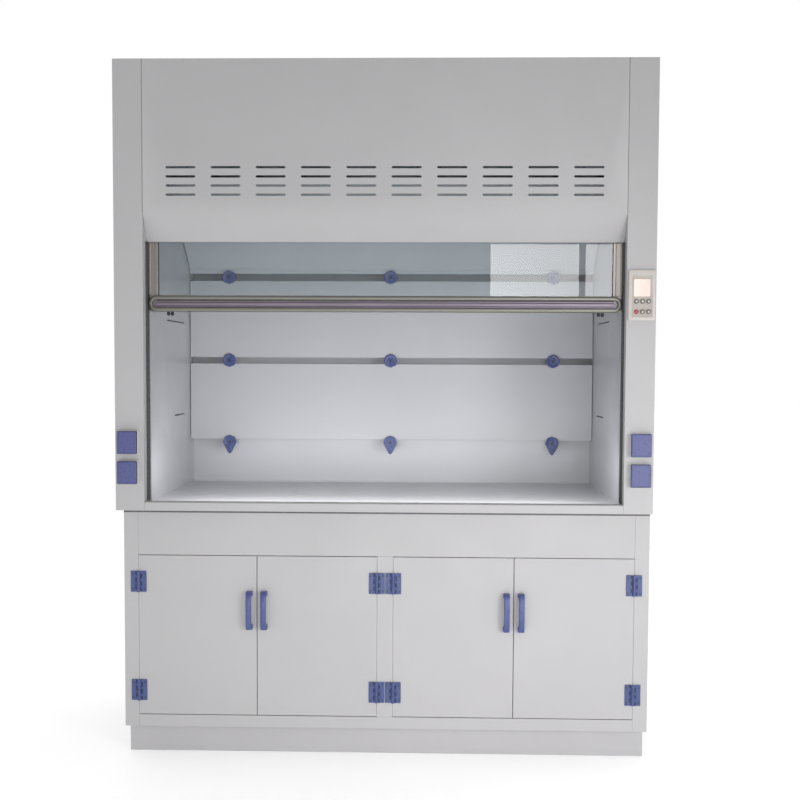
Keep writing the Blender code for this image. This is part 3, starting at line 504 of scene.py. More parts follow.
GREY = (0.464, 0.457, 0.466)
BLUE = (0.058, 0.085, 0.235)
LOOKS = {
    "board": board_look("polypropylene_board", GREY),
    "inner": board_look("polypropylene_liner", (0.470, 0.474, 0.500), 0.34),
    "worktop": board_look("polypropylene_worktop", (0.62, 0.62, 0.64), 0.34, 0.015, 0.01),
    "weld": moulded_look("weld_bead", (0.50, 0.50, 0.52), 0.40, 0.05, 0.1),
    "blue": moulded_look("blue_polypropylene", BLUE),
    "pull": moulded_look("blue_pull", (0.060, 0.081, 0.240), 0.30),
    "lid": moulded_look("blue_lid", (0.085, 0.097, 0.255), 0.30, 0.03, 0.05),
    "knob": moulded_look("blue_knob", (0.065, 0.090, 0.245), 0.40, 0.30, 0.2, 160.0),
    # darker blue painted as shade on the lids' border
    "lid_rim_painted_shade": moulded_look("blue_lid_rim_painted_shade", (0.035, 0.037, 0.095), 0.36),
    # dark navy painted as shade in the hinge notches and the knob holes; the hinge screw heads take it too
    "recess": moulded_look("navy_painted_shade_and_screw_heads", (0.020, 0.023, 0.065), 0.45),
    "stile": metal_look("anodised_stile", (0.40, 0.365, 0.34), 0.38, (1, 1, 0.02)),
    "bar": metal_look("anodised_bar", (0.225, 0.220, 0.198), 0.42, (0.02, 1, 1)),
    "groove": metal_look("groove_insert", (0.23, 0.20, 0.24), 0.42, (0.02, 1, 1), 90.0, 0.18),
    "steel": metal_look("zinc_plated_steel", (0.55, 0.56, 0.58), 0.38, (1, 1, 0.3), 40.0, 0.14),
    "cast": metal_look("blued_weight_steel", (0.25, 0.26, 0.28), 0.45, (1, 1, 0.2), 30.0, 0.20),
    # black rubber of belts and stops; also the inlays painted as shade in the socket slots
    "rubber": rubber_look("black_rubber", (0.030, 0.030, 0.032)),
    # dark grey: the fascia joints, and the painted shadow under the worktop rim
    "joint": moulded_look("dark_joint_and_painted_shadow", (0.12, 0.12, 0.125), 0.5),
    # dark grey rubber of the seals; also painted shade in the grip's groove
    "gasket_and_painted_shade": rubber_look("grey_gasket_and_painted_shade", (0.060, 0.058, 0.062)),
    "glass": glass_look(),
    "cream": moulded_look("cream_housing", (0.56, 0.525, 0.500), 0.42, 0.04),
    "field": moulded_look("warm_grey_field", (0.47, 0.435, 0.395), 0.45, 0.05),
    "screen": screen_look(),
    "ring": moulded_look("button_ring", (0.10, 0.085, 0.075), 0.35, 0.15),
    "cap": moulded_look("button_cap", (0.66, 0.62, 0.58), 0.40, 0.05),
    "red": moulded_look("red_cap", (0.58, 0.10, 0.15), 0.38, 0.10),
    "red_ring": moulded_look("red_ring", (0.33, 0.035, 0.06), 0.38, 0.10),
    "socket": moulded_look("white_socket", (0.72, 0.72, 0.73), 0.32, 0.03),
    "diffuser": moulded_look("lamp_diffuser", (0.80, 0.80, 0.80), 0.55, 0.02),
}


# ---------------------------------------------------------------- base cabinet


def carry_over_sheets():
    """Boards whose CAD shape is right, and the back sheet, thinner by its screw heads."""
    sides = ("side_shell_left", "side_shell_right")
    for node in ("base_plinth", "base_carcass", *sides, "fascia", "roof_panel"):
        keep(node, LOOKS["board"])
    low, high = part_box("back_panel")
    bm = bmesh.new()
    box(bm, low, (high.x, high.y - BACK_SCREW, high.z))
    piece("back_sheet", bm, "back_panel", LOOKS["inner"], 0.0012, replaces=["back_panel"])
    baffles = ("baffle_lower", "baffle_middle", "baffle_upper")
    for node in ("liner_left", "liner_right", "ceiling_panel", *baffles):
        keep(node, LOOKS["inner"])


def build_worktop():
    """Deck of the chamber and, in front of it, the raised board that holds back spills."""
    low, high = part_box("worktop")
    foot = low.y + RIM_FOOT
    deck_z = low.z + DECK_THICK
    deck = bmesh.new()
    box(deck, (low.x, foot - RIM_STEP + 0.0005, low.z), (high.x, high.y, deck_z))
    piece("worktop_deck", deck, "worktop", LOOKS["worktop"], 0.0010, replaces=["worktop"])
    rim = bmesh.new()
    ease = 0.003
    section = [(low.y, low.z), (foot - RIM_STEP, low.z), (foot - RIM_STEP, deck_z - 0.002)]
    section += [(foot, deck_z + 0.0001), (foot - RIM_STEP, high.z)]
    section += [(low.y + ease, high.z), (low.y, high.z - ease)]
    prism(rim, "X", section, low.x, high.x)
    piece("worktop_rim", rim, "worktop", LOOKS["board"], 0.0008, 3)


def door_places():
    """Each door as (number, hinge x, side the door lies on, edge on the hinge side, free edge)."""
    rows = []
    for number, side, neighbour in ((1, 1, 1), (2, -1, 1), (3, 1, 3), (4, -1, 3)):
        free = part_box(f"door_{neighbour}")[1].x + (0 if side > 0 else DOOR_GAP)
        hinge_x = JOINTS[f"door_{number}_hinge"]["pos_m"][0]
        rows.append((number, hinge_x, side, hinge_x + side * DOOR_GAP / 2, free))
    return rows


def build_face_frame():
    """Boards of the face frame: two end stiles, rails above and below the doors, a centre post."""
    node = "base_face_frame"
    low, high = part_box(node)
    panel_low, panel_high = panel_heights()
    edges = [edge - side * DOOR_GAP for _, _, side, edge, _ in door_places()]
    left, inner_left, inner_right, right = edges
    rail_left = left + BOARD_GAP / 2
    rail_right = right - BOARD_GAP
    over = panel_high + DOOR_GAP
    under = panel_low - DOOR_GAP
    bm = bmesh.new()
    box(bm, (low.x, low.y, low.z), (left, high.y, high.z))
    box(bm, (right, low.y, low.z), (high.x, high.y, high.z))
    box(bm, (rail_left, low.y, over), (rail_right, high.y, high.z))
    box(bm, (rail_left, low.y, low.z), (rail_right, high.y, under))
    box(bm, (inner_left, low.y, under + BOARD_GAP), (inner_right, high.y, over - BOARD_GAP))
    piece("face_frame_boards", bm, node, LOOKS["board"], 0.0008, 2, replaces=[node])


def panel_heights():
    """Bottom and top of the door panels."""
    low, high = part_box("door_1")
    return low.z, high.z


def hinge_knuckles(side):
    """Heights of one leaf's knuckles about the hinge centre: the -X leaf has the first, third, fifth."""
    low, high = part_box("hinge_1_low")
    half = (high.z - low.z) / 2
    step = 2 * half / KNUCKLES
    first = 0 if side < 0 else 1
    cuts = [-half + step * index for index in range(KNUCKLES + 1)]
    return half, list(zip(cuts[first::2], cuts[first + 1::2]))


def hinge_leaf(bm, axis_x, axis_y, height, side, inset=0.0):
    """One moulded leaf with its raised rim, corner screws and knuckles."""
    half, spans = hinge_knuckles(side)
    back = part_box("base_face_frame")[0].y - GAP
    front = back - HINGE_LEAF
    root = axis_x + side * HINGE_ROOT
    bottom = height - half
    top = height + half
    left, right = sorted((axis_x + side * HINGE_REACH, root))
    soft_box(bm, (left, front + LEAF_STEP, bottom), (right, back, top), 0.0014, "Y", 3, 0.0005)
    field_low = (left + LEAF_RIM, front, bottom + LEAF_RIM)
    field_high = (right - LEAF_RIM, front + 1.5 * LEAF_STEP, top - LEAF_RIM)
    soft_box(bm, field_low, field_high, 0.0012, "Y", 3, 0.0004)
    left, right = sorted((root + side * 0.002, axis_x + side * 0.002))
    web_y = (front + KNUCKLE_EASE, back - KNUCKLE_EASE)
    for low, high in spans:
        low += height + inset
        high += height - inset
        body = [(low + KNUCKLE_EASE, KNUCKLE_R), (high - KNUCKLE_EASE, KNUCKLE_R)]
        turned = [(low, KNUCKLE_R - 0.0007), *body, (high, KNUCKLE_R - 0.0007)]
        lathe(bm, "Z", (axis_x, axis_y), turned, 24)
        soft_box(bm, (left, web_y[0], low + 0.0004), (right, web_y[1], high - 0.0004), 0.0004, "X", 2)
    # Plates sunk behind the notches, where the other leaf's knuckles sit, take the dark navy second look: painted
    # shade.
    step = 2 * half / KNUCKLES
    left, right = sorted((axis_x + side * (KNUCKLE_R + 0.0005), root))
    for index in range(KNUCKLES):
        low = bottom + step * index
        if not any(abs(low - height - start) < step / 2 for start, _ in spans):
            tinted(bm, box, (left, front + 0.0010, low), (right, back, low + step))
    for offset in (-0.72, 0.72):
        centre = (axis_x + side * LEAF_SCREW_X, front, height + offset * half)
        tinted(bm, screw, centre, (0, -1, 0), 0.0026, 0.0007, 12)


def hinge_heights():
    """Centre heights of the lower and the upper hinges."""
    boxes = [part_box(f"hinge_1_{level}") for level in ("low", "high")]
    return [middle_of(low.z, high.z) for low, high in boxes]


def build_doors():
    """Four door panels with their hinges and pulls."""
    panel_low, panel_high = panel_heights()
    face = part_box("base_face_frame")[0].y
    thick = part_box("door_1")[1].y - face
    # Second look: dark navy, painted shade in the hinge notches, also on the hinge screws.
    blues = [LOOKS["blue"], LOOKS["recess"]]
    for number, hinge_x, side, edge, free in door_places():
        axis_y = JOINTS[f"door_{number}_hinge"]["pos_m"][1]
        node = f"door_{number}"
        left, right = sorted((edge - side * HINGE_SIDE_CLOSE, free))
        bm = bmesh.new()
        box(bm, (left, face, panel_low), (right, face + thick, panel_high))
        piece(f"{node}_panel", bm, node, LOOKS["board"], 0.0011, 3, replaces=[node])
        leaves = bmesh.new()
        for level, height in zip(("low", "high"), hinge_heights()):
            hinge_leaf(leaves, hinge_x, axis_y, height, side, GAP)
            fixed = bmesh.new()
            hinge_leaf(fixed, hinge_x, axis_y, height, -side)
            reach = hinge_knuckles(side)[0] - 0.002
            lathe(fixed, "Z", (hinge_x, axis_y), [(height - reach, PIN_R), (height + reach, PIN_R)], 12)
            hinge = f"hinge_{number}_{level}"
            piece(f"{hinge}_frame_leaf", fixed, hinge, blues, replaces=[hinge])
        piece(f"{node}_hinge_leaves", leaves, node, blues)
        build_pull(number)


def build_pull(number):
    """Moulded bow pull: a strap that swells into a foot at each end."""
    node = f"door_pull_{number}"
    low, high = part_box(node)
    centre_x = middle_of(low.x, high.x)
    centre_z = middle_of(low.z, high.z)
    half = (high.z - low.z) / 2
    proud = high.y - low.y
    wide = (high.x - low.x) / 2
    count = 36
    stations = []
    for index in range(count + 1):
        turn = math.pi * index / count
        rise = math.sin(turn) ** 0.42
        bow = math.copysign(abs(math.cos(turn)) ** 0.62, math.cos(turn))
        height = centre_z - (half - PULL_STRAP * 0.5 * (1 - rise)) * bow
        stations.append((height, high.y - (proud - PULL_STRAP / 2) * rise, rise))
    rings = []
    for index, (height, depth, rise) in enumerate(stations):
        before = stations[max(index - 1, 0)]
        after = stations[min(index + 1, count)]
        along = Vector((0, after[1] - before[1], after[0] - before[0])).normalized()
        outward = Vector((0, -along.z, along.y))
        width = wide - 0.0015 * rise
        thick = PULL_STRAP / 2 + 0.0012 * (1 - rise)
        middle = Vector((centre_x, depth, height))
        ring = []
        for across, out in round_outline((-width, -thick), (width, thick), min(0.0036, thick * 0.8)):
            point = middle + Vector((1, 0, 0)) * across + outward * out
            point.y = max(min(point.y, high.y), low.y)
            point.z = min(max(point.z, low.z), high.z)
            ring.append(point)
        rings.append(ring)
    bm = bmesh.new()
    skin(bm, rings)
    for side in (-1, 1):
        foot = centre_z + side * (half - 0.0085)
        foot_low = (centre_x - wide, high.y - 0.0070, foot - PULL_FOOT)
        soft_box(bm, foot_low, (centre_x + wide, high.y, foot + PULL_FOOT), 0.0042, "Y", 5, 0.0008)
    piece(f"{node}_bow", bm, node, LOOKS["pull"], sharp=50, replaces=[node])


# ---------------------------------------------------------------- chamber


def build_hangers():
    """Wall strips, spacers, studs and hand knobs that hold the baffles."""
    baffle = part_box("baffle_lower")
    seat = baffle[0].y - GAP
    behind = baffle[1].y + GAP
    gap_low = middle_of(baffle[1].z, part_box("baffle_middle")[0].z)
    gap_high = middle_of(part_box("baffle_middle")[1].z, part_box("baffle_upper")[0].z)
    heights = (baffle[0].z - 0.011, gap_low, gap_high)
    for name in ("left", "centre", "right"):
        node = f"baffle_hanger_{name}"
        low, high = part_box(node)
        x = middle_of(low.x, high.x)
        knob_r = (high.x - low.x) / 2
        front = low.y
        wall = high.y
        strip = bmesh.new()
        strip_low = (x - STRIP_HALF, wall - STRIP_THICK, STRIP_BOTTOM)
        soft_box(strip, strip_low, (x + STRIP_HALF, wall, STRIP_TOP), 0.004, "Y", 4, 0.001)
        knobs = bmesh.new()
        spacer = [(behind, SPACER_R - 0.0015), (behind + 0.0015, SPACER_R)]
        spacer += [(wall - 0.012, SPACER_R), (wall - 0.009, SPACER_R - 0.001)]
        for height in heights:
            lathe(strip, "Y", (x, height), spacer, 36)
            lathe(knobs, "Y", (x, height), [(front + 0.009, STUD_R), (behind + 0.001, STUD_R)], 16)
            knob_body(knobs, x, height, knob_r, front, seat)
        pointed(knobs, x, heights[0], low.z, front + 0.0015, seat - 0.001)
        piece(f"{node}_wall_strip", strip, node, LOOKS["inner"])
        # Second look: dark navy, painted shade in the knob holes.
        piece(f"{node}_knobs", knobs, node, [LOOKS["knob"], LOOKS["recess"]], sharp=40, replaces=[node])


def knob_body(bm, x, height, radius, front, seat):
    """Round hand knob with shallow lobes, a dished face and a centre hole."""
    steps = 48
    lobes = 8

    def ring(level, reach, wave):
        points = []
        for step in range(steps):
            angle = math.tau * step / steps
            size = reach * (1 - wave + wave * abs(math.cos(angle * lobes / 2)))
            points.append(Vector((x + size * math.cos(angle), level, height + size * math.sin(angle))))
        return points

    depth = seat - front
    body = [(1.0, 0.94, 0.05), (0.88, 1.0, 0.07), (0.38, 1.0, 0.07)]
    body += [(0.14, 0.93, 0.06), (0.10, 0.80, 0.03)]
    dish = [(0.26, 0.66, 0.0), (0.26, 0.48, 0.0), (0.0, 0.42, 0.0), (0.0, 0.26, 0.0)]
    skin(bm, [ring(front + depth * level, radius * reach, wave) for level, reach, wave in body + dish])
    # The hole's wall takes the dark navy second look: painted shade.
    hole = [ring(front - 0.00005, radius * 0.26, 0.0), ring(front + depth * 0.50, radius * 0.24, 0.0)]
    tinted(bm, skin, hole)


def pointed(bm, x, height, tip_z, front, seat):
    """Tapered lever that hangs from the lowest knob."""
    start = 0.010
    drop = height - tip_z - start
    middle = middle_of(front, seat)
    rings = []
    count = 10
    for index in range(count + 1):
        share = index / count
        level = height - start - drop * share
        half = 0.0022 if index == count else 0.0190 * (1 - share) ** 0.8 + 0.0035
        thick = (seat - front) / 2 * (1 - 0.25 * share)
        outline = round_outline((-half, -thick), (half, thick), min(half, thick) * 0.7, 0.0, 3)
        rings.append([Vector((x + across, middle + out, level)) for across, out in outline])
    skin(bm, rings)


def build_seams():
    """Weld beads in the corners, the sash track seals, the dark joints on the fascia and a dark strip painted as
    the shadow under the worktop rim.
    """
    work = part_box("worktop")
    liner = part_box("liner_right")
    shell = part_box("side_shell_right")
    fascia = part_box("fascia")
    wall = work[1].x
    front = liner[0].y + 0.010
    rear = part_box("back_panel")[0].y - 0.001
    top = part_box("ceiling_panel")[0].z
    deck = work[0].z + DECK_THICK + 0.0012
    corner = rear - 0.001
    bm = bmesh.new()
    for side in (-1, 1):
        x = side * (wall - 0.0010)
        bead(bm, (x, front, deck), (x, rear, deck), WELD_R)
        bead(bm, (x, corner, deck), (x, corner, top), WELD_R)
    bead(bm, (-wall, corner, deck), (wall, corner, deck), WELD_R)
    piece("chamber_welds", bm, "worktop", LOOKS["weld"], sharp=60)

    bm = bmesh.new()
    for side in (-1, 1):
        left, right = sorted((side * (shell[0].x - GAP), side * (shell[0].x - TRACK_JOINT)))
        box(bm, (left, TRACK_FRONT, work[1].z + GAP), (right, TRACK_BACK, fascia[0].z - GAP))
    piece("track_seals", bm, "worktop", LOOKS["gasket_and_painted_shade"], 0.0004, 2)

    bm = bmesh.new()
    half = 0.0008
    for side in (-1, 1):
        x = side * (shell[0].x - GAP)
        joint_low = (x - half, fascia[0].y - GAP, FASCIA_CREASE)
        box(bm, joint_low, (x + half, fascia[0].y - 0.0001, fascia[1].z))
    piece("fascia_joints", bm, "fascia", LOOKS["joint"])

    # Dark strip on the face frame's top, under the worktop rim: painted shadow.
    bm = bmesh.new()
    frame_low, frame_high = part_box("base_face_frame")
    top = frame_high.z - GAP
    joint_low = (frame_low.x, frame_low.y - 0.0012, top - RIM_SHADOW_TALL)
    box(bm, joint_low, (frame_high.x, frame_low.y - 0.0001, top))
    piece("rim_painted_shadow", bm, "base_face_frame", LOOKS["joint"])

    bm = bmesh.new()
    low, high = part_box("base_plinth")
    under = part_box("base_carcass")[0].z - 0.0004
    stand = 0.0006
    for x in (low.x - stand, high.x + stand):
        bead(bm, (x, low.y, under), (x, high.y, under), PLINTH_WELD_R)
    bead(bm, (low.x, low.y - stand, under), (high.x, low.y - stand, under), PLINTH_WELD_R)
    piece("plinth_weld", bm, "base_plinth", LOOKS["weld"], sharp=60)


def build_lamp():
    """Batten under the chamber ceiling, with a half-round diffuser below it."""
    low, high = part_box("lamp")
    body = bmesh.new()
    inset = 0.006
    lip = low.z + 0.014
    outline = [(low.y, high.z), (high.y, high.z), (high.y - inset, lip), (low.y + inset, lip)]
    prism(body, "X", outline, low.x, high.x)
    piece("lamp_housing", body, "lamp", LOOKS["board"], 0.002, 3, replaces=["lamp"])
    lens = bmesh.new()
    deep = 0.013
    middle = middle_of(low.y, high.y)
    half = (high.y - low.y) / 2 - 0.010
    turns = [math.pi + math.pi * step / 16 for step in range(17)]
    arc = [(middle + half * math.cos(turn), low.z + deep + deep * math.sin(turn)) for turn in turns]
    prism(lens, "X", arc, low.x + inset, high.x - inset)
    piece("lamp_lens", lens, "lamp", LOOKS["diffuser"], sharp=40)


def build_duct():
    """Turned exhaust collar with a rolled rim and its bolted flange."""
    low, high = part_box("duct_collar")
    centre = (middle_of(low.x, high.x), middle_of(low.y, high.y))
    flange_r = (high.x - low.x) / 2
    outer = flange_r - FLANGE_WIDE
    inner = outer - DUCT_WALL
    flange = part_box("roof_panel")[1].z + GAP
    seat = flange + FLANGE_THICK
    ease = 0.0008
    rim = [(high.z, inner), (high.z, inner + 0.0012), (high.z, outer - ease), (high.z - ease, outer)]
    groove = [(high.z - 0.020, outer), (high.z - 0.0215, outer - 0.0010), (high.z - 0.0230, outer)]
    fillet = [(seat + 0.004, outer), (seat + 0.0012, outer + 0.0012), (seat, outer + 0.004)]
    edge = [(seat, flange_r - ease), (seat - ease, flange_r), (flange, flange_r), (flange, outer)]
    profile = [(low.z, inner), *rim, *groove, *fillet, *edge, (low.z, outer)]
    bm = bmesh.new()
    lathe(bm, "Z", centre, profile, 96, closed=True)
    piece("duct_collar_turned", bm, "duct_collar", LOOKS["board"], sharp=30, replaces=["duct_collar"])
    bolts = bmesh.new()
    for x, y in circle(centre, outer + 0.016, 12):
        screw(bolts, (x, y, seat), (0, 0, 1), 0.0055)
    piece("duct_collar_bolts", bolts, "duct_collar", LOOKS["steel"])


def row(start, end, count):
    """Evenly spaced points from start to end, both included."""
    return [Vector(start).lerp(Vector(end), index / (count - 1)) for index in range(count)]


def build_fixings():
    """Screws round the back panel and in rows on the cabinet's back and the roof."""
    bm = bmesh.new()
    low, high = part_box("back_panel")
    left, right = low.x + SCREW_EDGE, high.x - SCREW_EDGE
    bottom, top = low.z + SCREW_EDGE, high.z - SCREW_EDGE
    y = high.y - BACK_SCREW
    places = row((left, y, bottom), (right, y, bottom), 9) + row((left, y, top), (right, y, top), 9)
    for x in (left, right):
        places += row((x, y, bottom), (x, y, top), 8)[1:-1]
    for place in places:
        screw(bm, place, (0, 1, 0), SCREW_R, BACK_SCREW)
    low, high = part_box("base_carcass")
    left, right = low.x + SCREW_EDGE, high.x - SCREW_EDGE
    for z in (low.z + SCREW_EDGE, high.z - SCREW_EDGE):
        for place in row((left, high.y, z), (right, high.y, z), 7):
            screw(bm, place, (0, 1, 0), SCREW_R)
    piece("rear_screws", bm, "back_panel", LOOKS["steel"])
    bm = bmesh.new()
    low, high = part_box("roof_panel")
    left, right = low.x + 2 * SCREW_EDGE, high.x - 2 * SCREW_EDGE
    for y in (low.y + SCREW_EDGE, high.y - SCREW_EDGE):
        for place in row((left, y, high.z), (right, y, high.z), 8):
            screw(bm, place, (0, 0, 1), SCREW_R)
    piece("roof_screws", bm, "roof_panel", LOOKS["steel"])


# ---------------------------------------------------------------- sash and drive


def build_sash():
    """Sash frame, its glass with the gaskets, the belt clamps and the handle."""
    low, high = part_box("sash_frame")
    glass_low, glass_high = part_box("sash_glass")
    middle = middle_of(glass_low.y, glass_high.y)
    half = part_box("sash_handle")[1].x + 0.002
    inner = half - STILE_WIDE
    rail = high.z - RAIL_TALL
    bm = bmesh.new()
    for side in (-1, 1):
        prism(bm, "Z", stile_section(side, half, middle), low.z, high.z)
        left, right = sorted((side * (half - 0.003), side * (half + 0.026)))
        box(bm, (left, middle - 0.005, low.z + 0.002), (right, middle + 0.005, high.z - 0.002))
    slot = 0.0045
    section = [(middle - STILE_HALF, high.z), (middle - STILE_HALF, rail), (middle - slot, rail)]
    section += [(middle - slot, rail + 0.004), (middle + slot, rail + 0.004), (middle + slot, rail)]
    section += [(middle + STILE_HALF, rail), (middle + STILE_HALF, high.z)]
    prism(bm, "X", section, GAP - inner, inner - GAP)
    piece("sash_stiles", bm, "sash_frame", LOOKS["stile"], 0.0006, 2, replaces=["sash_frame"])
    build_clamps(middle)

    seal = bmesh.new()
    for side in (-1, 1):
        left, right = sorted((side * (inner - 0.0015), side * (inner + 0.004)))
        for face in (-1, 1):
            near, far = sorted((middle + face * 0.0032, middle + face * 0.0058))
            soft_box(seal, (left, near, low.z + 0.001), (right, far, rail), 0.0010, "Z", 3)
    piece("sash_gasket", seal, "sash_frame", LOOKS["gasket_and_painted_shade"])

    pane = bmesh.new()
    soft_box(pane, glass_low[:], glass_high[:], 0.0010, "Y", 3, 0.0006)
    piece("sash_pane", pane, "sash_glass", LOOKS["glass"], sharp=25, replaces=["sash_glass"])
    build_handle(middle)


def stile_section(side, half, middle):
    """Extrusion outline of one sash stile: a shallow channel down its front and a slot for the glass."""
    front = middle - STILE_HALF
    inner = half - STILE_WIDE
    step = 0.0012
    face = [(half, middle + STILE_HALF), (half, front), (half - 0.0045, front)]
    face += [(half - 0.0055, front + step), (half - 0.0205, front + step)]
    face += [(half - 0.0215, front), (inner, front)]
    lip = [(inner, SEAL_SLOT), (inner + 0.004, SEAL_SLOT)]
    lip += [(inner + 0.004, PANE_SLOT), (half - 0.0175, PANE_SLOT)]
    slot = [(x, middle - depth) for x, depth in lip]
    slot += [(x, middle + depth) for x, depth in reversed(lip)]
    return [(side * x, y) for x, y in face + slot + [(inner, middle + STILE_HALF)]]


def build_clamps(middle):
    """Belt clamps on the sash: two plates and two screws on each side."""
    belt_low, belt_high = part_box("belt_right")
    x = middle_of(belt_low.x, belt_high.x)
    bm = bmesh.new()
    for side in (-1, 1):
        left, right = sorted((side * (x - 0.024), side * (x + 0.014)))
        for face in (-1, 1):
            near, far = sorted((middle + face * 0.0014, middle + face * 0.0095))
            plate_low = (left, near, CLAMP_BOTTOM)
            soft_box(bm, plate_low, (right, far, CLAMP_BOTTOM + CLAMP_TALL), 0.002, "Y", 3, 0.0006)
        for height in (0.010, 0.030):
            place = (side * (x - 0.016), middle - 0.0095, CLAMP_BOTTOM + height)
            screw(bm, place, (0, -1, 0), 0.0034, 0.0015)
    piece("belt_clamps", bm, "sash_frame", LOOKS["steel"])


def build_handle(middle):
    """Bottom rail with the stadium-shaped grip bar in front of it and the rubber stops under it."""
    low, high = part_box("sash_handle")
    bar_half = high.x
    rail_low = low.z + 0.015
    bar_z = low.z + 0.040
    front = low.y
    slot_z = high.z - 0.0125
    bm = bmesh.new()
    section = [(middle - STILE_HALF, rail_low), (middle + STILE_HALF, rail_low)]
    section += [(middle + STILE_HALF, high.z), (middle + PANE_SLOT, high.z)]
    section += [(middle + PANE_SLOT, slot_z), (middle - PANE_SLOT, slot_z)]
    section += [(middle - PANE_SLOT, high.z), (middle - STILE_HALF, high.z)]
    prism(bm, "X", section, -bar_half, bar_half)
    piece("sash_rail", bm, "sash_handle", LOOKS["stile"], 0.0006, 2, replaces=["sash_handle"])

    grip = bmesh.new()
    back = middle - STILE_HALF - 0.0002

    def ring(level, inset):
        outline = stadium((0, bar_z), bar_half - inset, GRIP_RADIUS - inset, 24)
        return [lay("Y", level, point) for point in outline]

    wall = GRIP_WALL
    rim = [(back, 0.0), (front + 0.0050, 0.0), (front + 0.0022, 0.0008), (front + 0.0006, 0.0028)]
    rim += [(front, 0.0056), (front, wall - 0.0030), (front + 0.0006, wall - 0.0010)]
    rim += [(front + 0.0020, wall), (front + 0.0110, wall), (back, wall)]
    skin(grip, [ring(level, inset) for level, inset in rim], closed=True)
    piece("sash_grip_bar", grip, "sash_handle", LOOKS["bar"], sharp=32)

    insert = bmesh.new()
    inner = GRIP_RADIUS - wall
    reach = bar_half - wall - inner
    floor = front + GROOVE_DEPTH
    rear = back - 0.0004
    rib = [(-inner * 0.62, floor), (-inner * 0.50, floor - 0.0030), (inner * 0.02, floor - 0.0042)]
    rib += [(inner * 0.30, floor - 0.0036), (inner * 0.42, floor)]
    section = [(-inner, floor), *rib, (inner, floor), (inner, rear), (-inner, rear)]
    skin(insert, [[Vector((x, y, bar_z + z)) for z, y in section] for x in (-reach, reach)])
    turns = [-math.pi / 2 + math.pi * step / 12 for step in range(13)]
    bend = [(inner * math.cos(turn), inner * math.sin(turn)) for turn in turns]
    for side in (-1, 1):
        arc = [(side * (reach + across), bar_z + up) for across, up in bend]
        prism(insert, "Y", arc, floor, rear)
    # Dark bands along the top and the bottom of the groove, in the gasket colour: painted shade.
    for level, tall in ((inner * 0.66, inner * 0.34), (-inner, inner * 0.14)):
        line_low = (-reach, floor - 0.0008, bar_z + level)
        tinted(insert, box, line_low, (reach, floor + 0.0004, bar_z + level + tall))
    piece("sash_grip_insert", insert, "sash_handle", [LOOKS["groove"], LOOKS["gasket_and_painted_shade"]], 0.0004, 2)

    stops = bmesh.new()
    turns = [math.pi * (share - 3) / 16 for share in range(12)]
    lobe = [(low.z + STOP_R - STOP_R * math.sin(turn), STOP_R * math.cos(turn)) for turn in turns]
    profile = [(rail_low, STOP_NECK_R), (low.z + 0.0098, STOP_NECK_R), *lobe]
    for side in (-1, 1):
        for step in (-STOP_SPREAD, STOP_SPREAD):
            lathe(stops, "Z", (side * STOP_X + step, middle), profile, 24)
    piece("sash_stops", stops, "sash_handle", LOOKS["rubber"])


def pulley(bm, x, axle_y, axle_z, belt_half, bore):
    """Toothed pulley with two flanges."""
    groove = belt_half + GAP
    steps = PULLEY_TEETH * 4
    outline = []
    for step in range(steps):
        angle = math.tau * step / steps
        reach = PULLEY_R - (PULLEY_TOOTH if step % 4 < 2 else 0.0)
        outline.append((axle_y + reach * math.cos(angle), axle_z + reach * math.sin(angle)))
    prism(bm, "X", outline, x - groove, x + groove)
    for side in (-1, 1):
        near = x + side * groove
        far = near + side * FLANGE_SIDE
        rim = [(near, FLANGE_R - 0.0008), (near + side * 0.0008, FLANGE_R), (far, FLANGE_R - 0.0004)]
        lathe(bm, "X", (axle_y, axle_z), [(near, bore), *rim, (far, bore)], 48, closed=True)


def build_drive():
    """Cross shaft with its pulleys, the idlers, the belts and the counterweights."""
    low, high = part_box("drive_shaft")
    _, axle_y, shaft_z = JOINTS["drive_shaft_spin"]["pos_m"]
    idler_z = JOINTS["idler_left_spin"]["pos_m"][2]
    belt_low, belt_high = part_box("belt_right")
    belt_x = middle_of(belt_low.x, belt_high.x)
    belt_half = (belt_high.x - belt_low.x) / 2
    bm = bmesh.new()
    ends = [(low.x, SHAFT_R - 0.0012), (low.x + 0.0012, SHAFT_R)]
    ends += [(high.x - 0.0012, SHAFT_R), (high.x, SHAFT_R - 0.0012)]
    lathe(bm, "X", (axle_y, shaft_z), ends, 32)
    for side in (-1, 1):
        pulley(bm, side * belt_x, axle_y, shaft_z, belt_half, 0.0098)
    piece("drive_shaft_turned", bm, "drive_shaft", LOOKS["steel"], replaces=["drive_shaft"])
    for name, side in (("left", -1), ("right", 1)):
        x = side * belt_x
        bm = bmesh.new()
        pulley(bm, x, axle_y, idler_z, belt_half, 0.0084)
        piece(f"idler_{name}_turned", bm, f"idler_{name}", LOOKS["steel"], replaces=[f"idler_{name}"])
        build_belt(f"belt_{name}", x, axle_y, shaft_z, idler_z, belt_half)
        build_weight(f"counterweight_{name}")


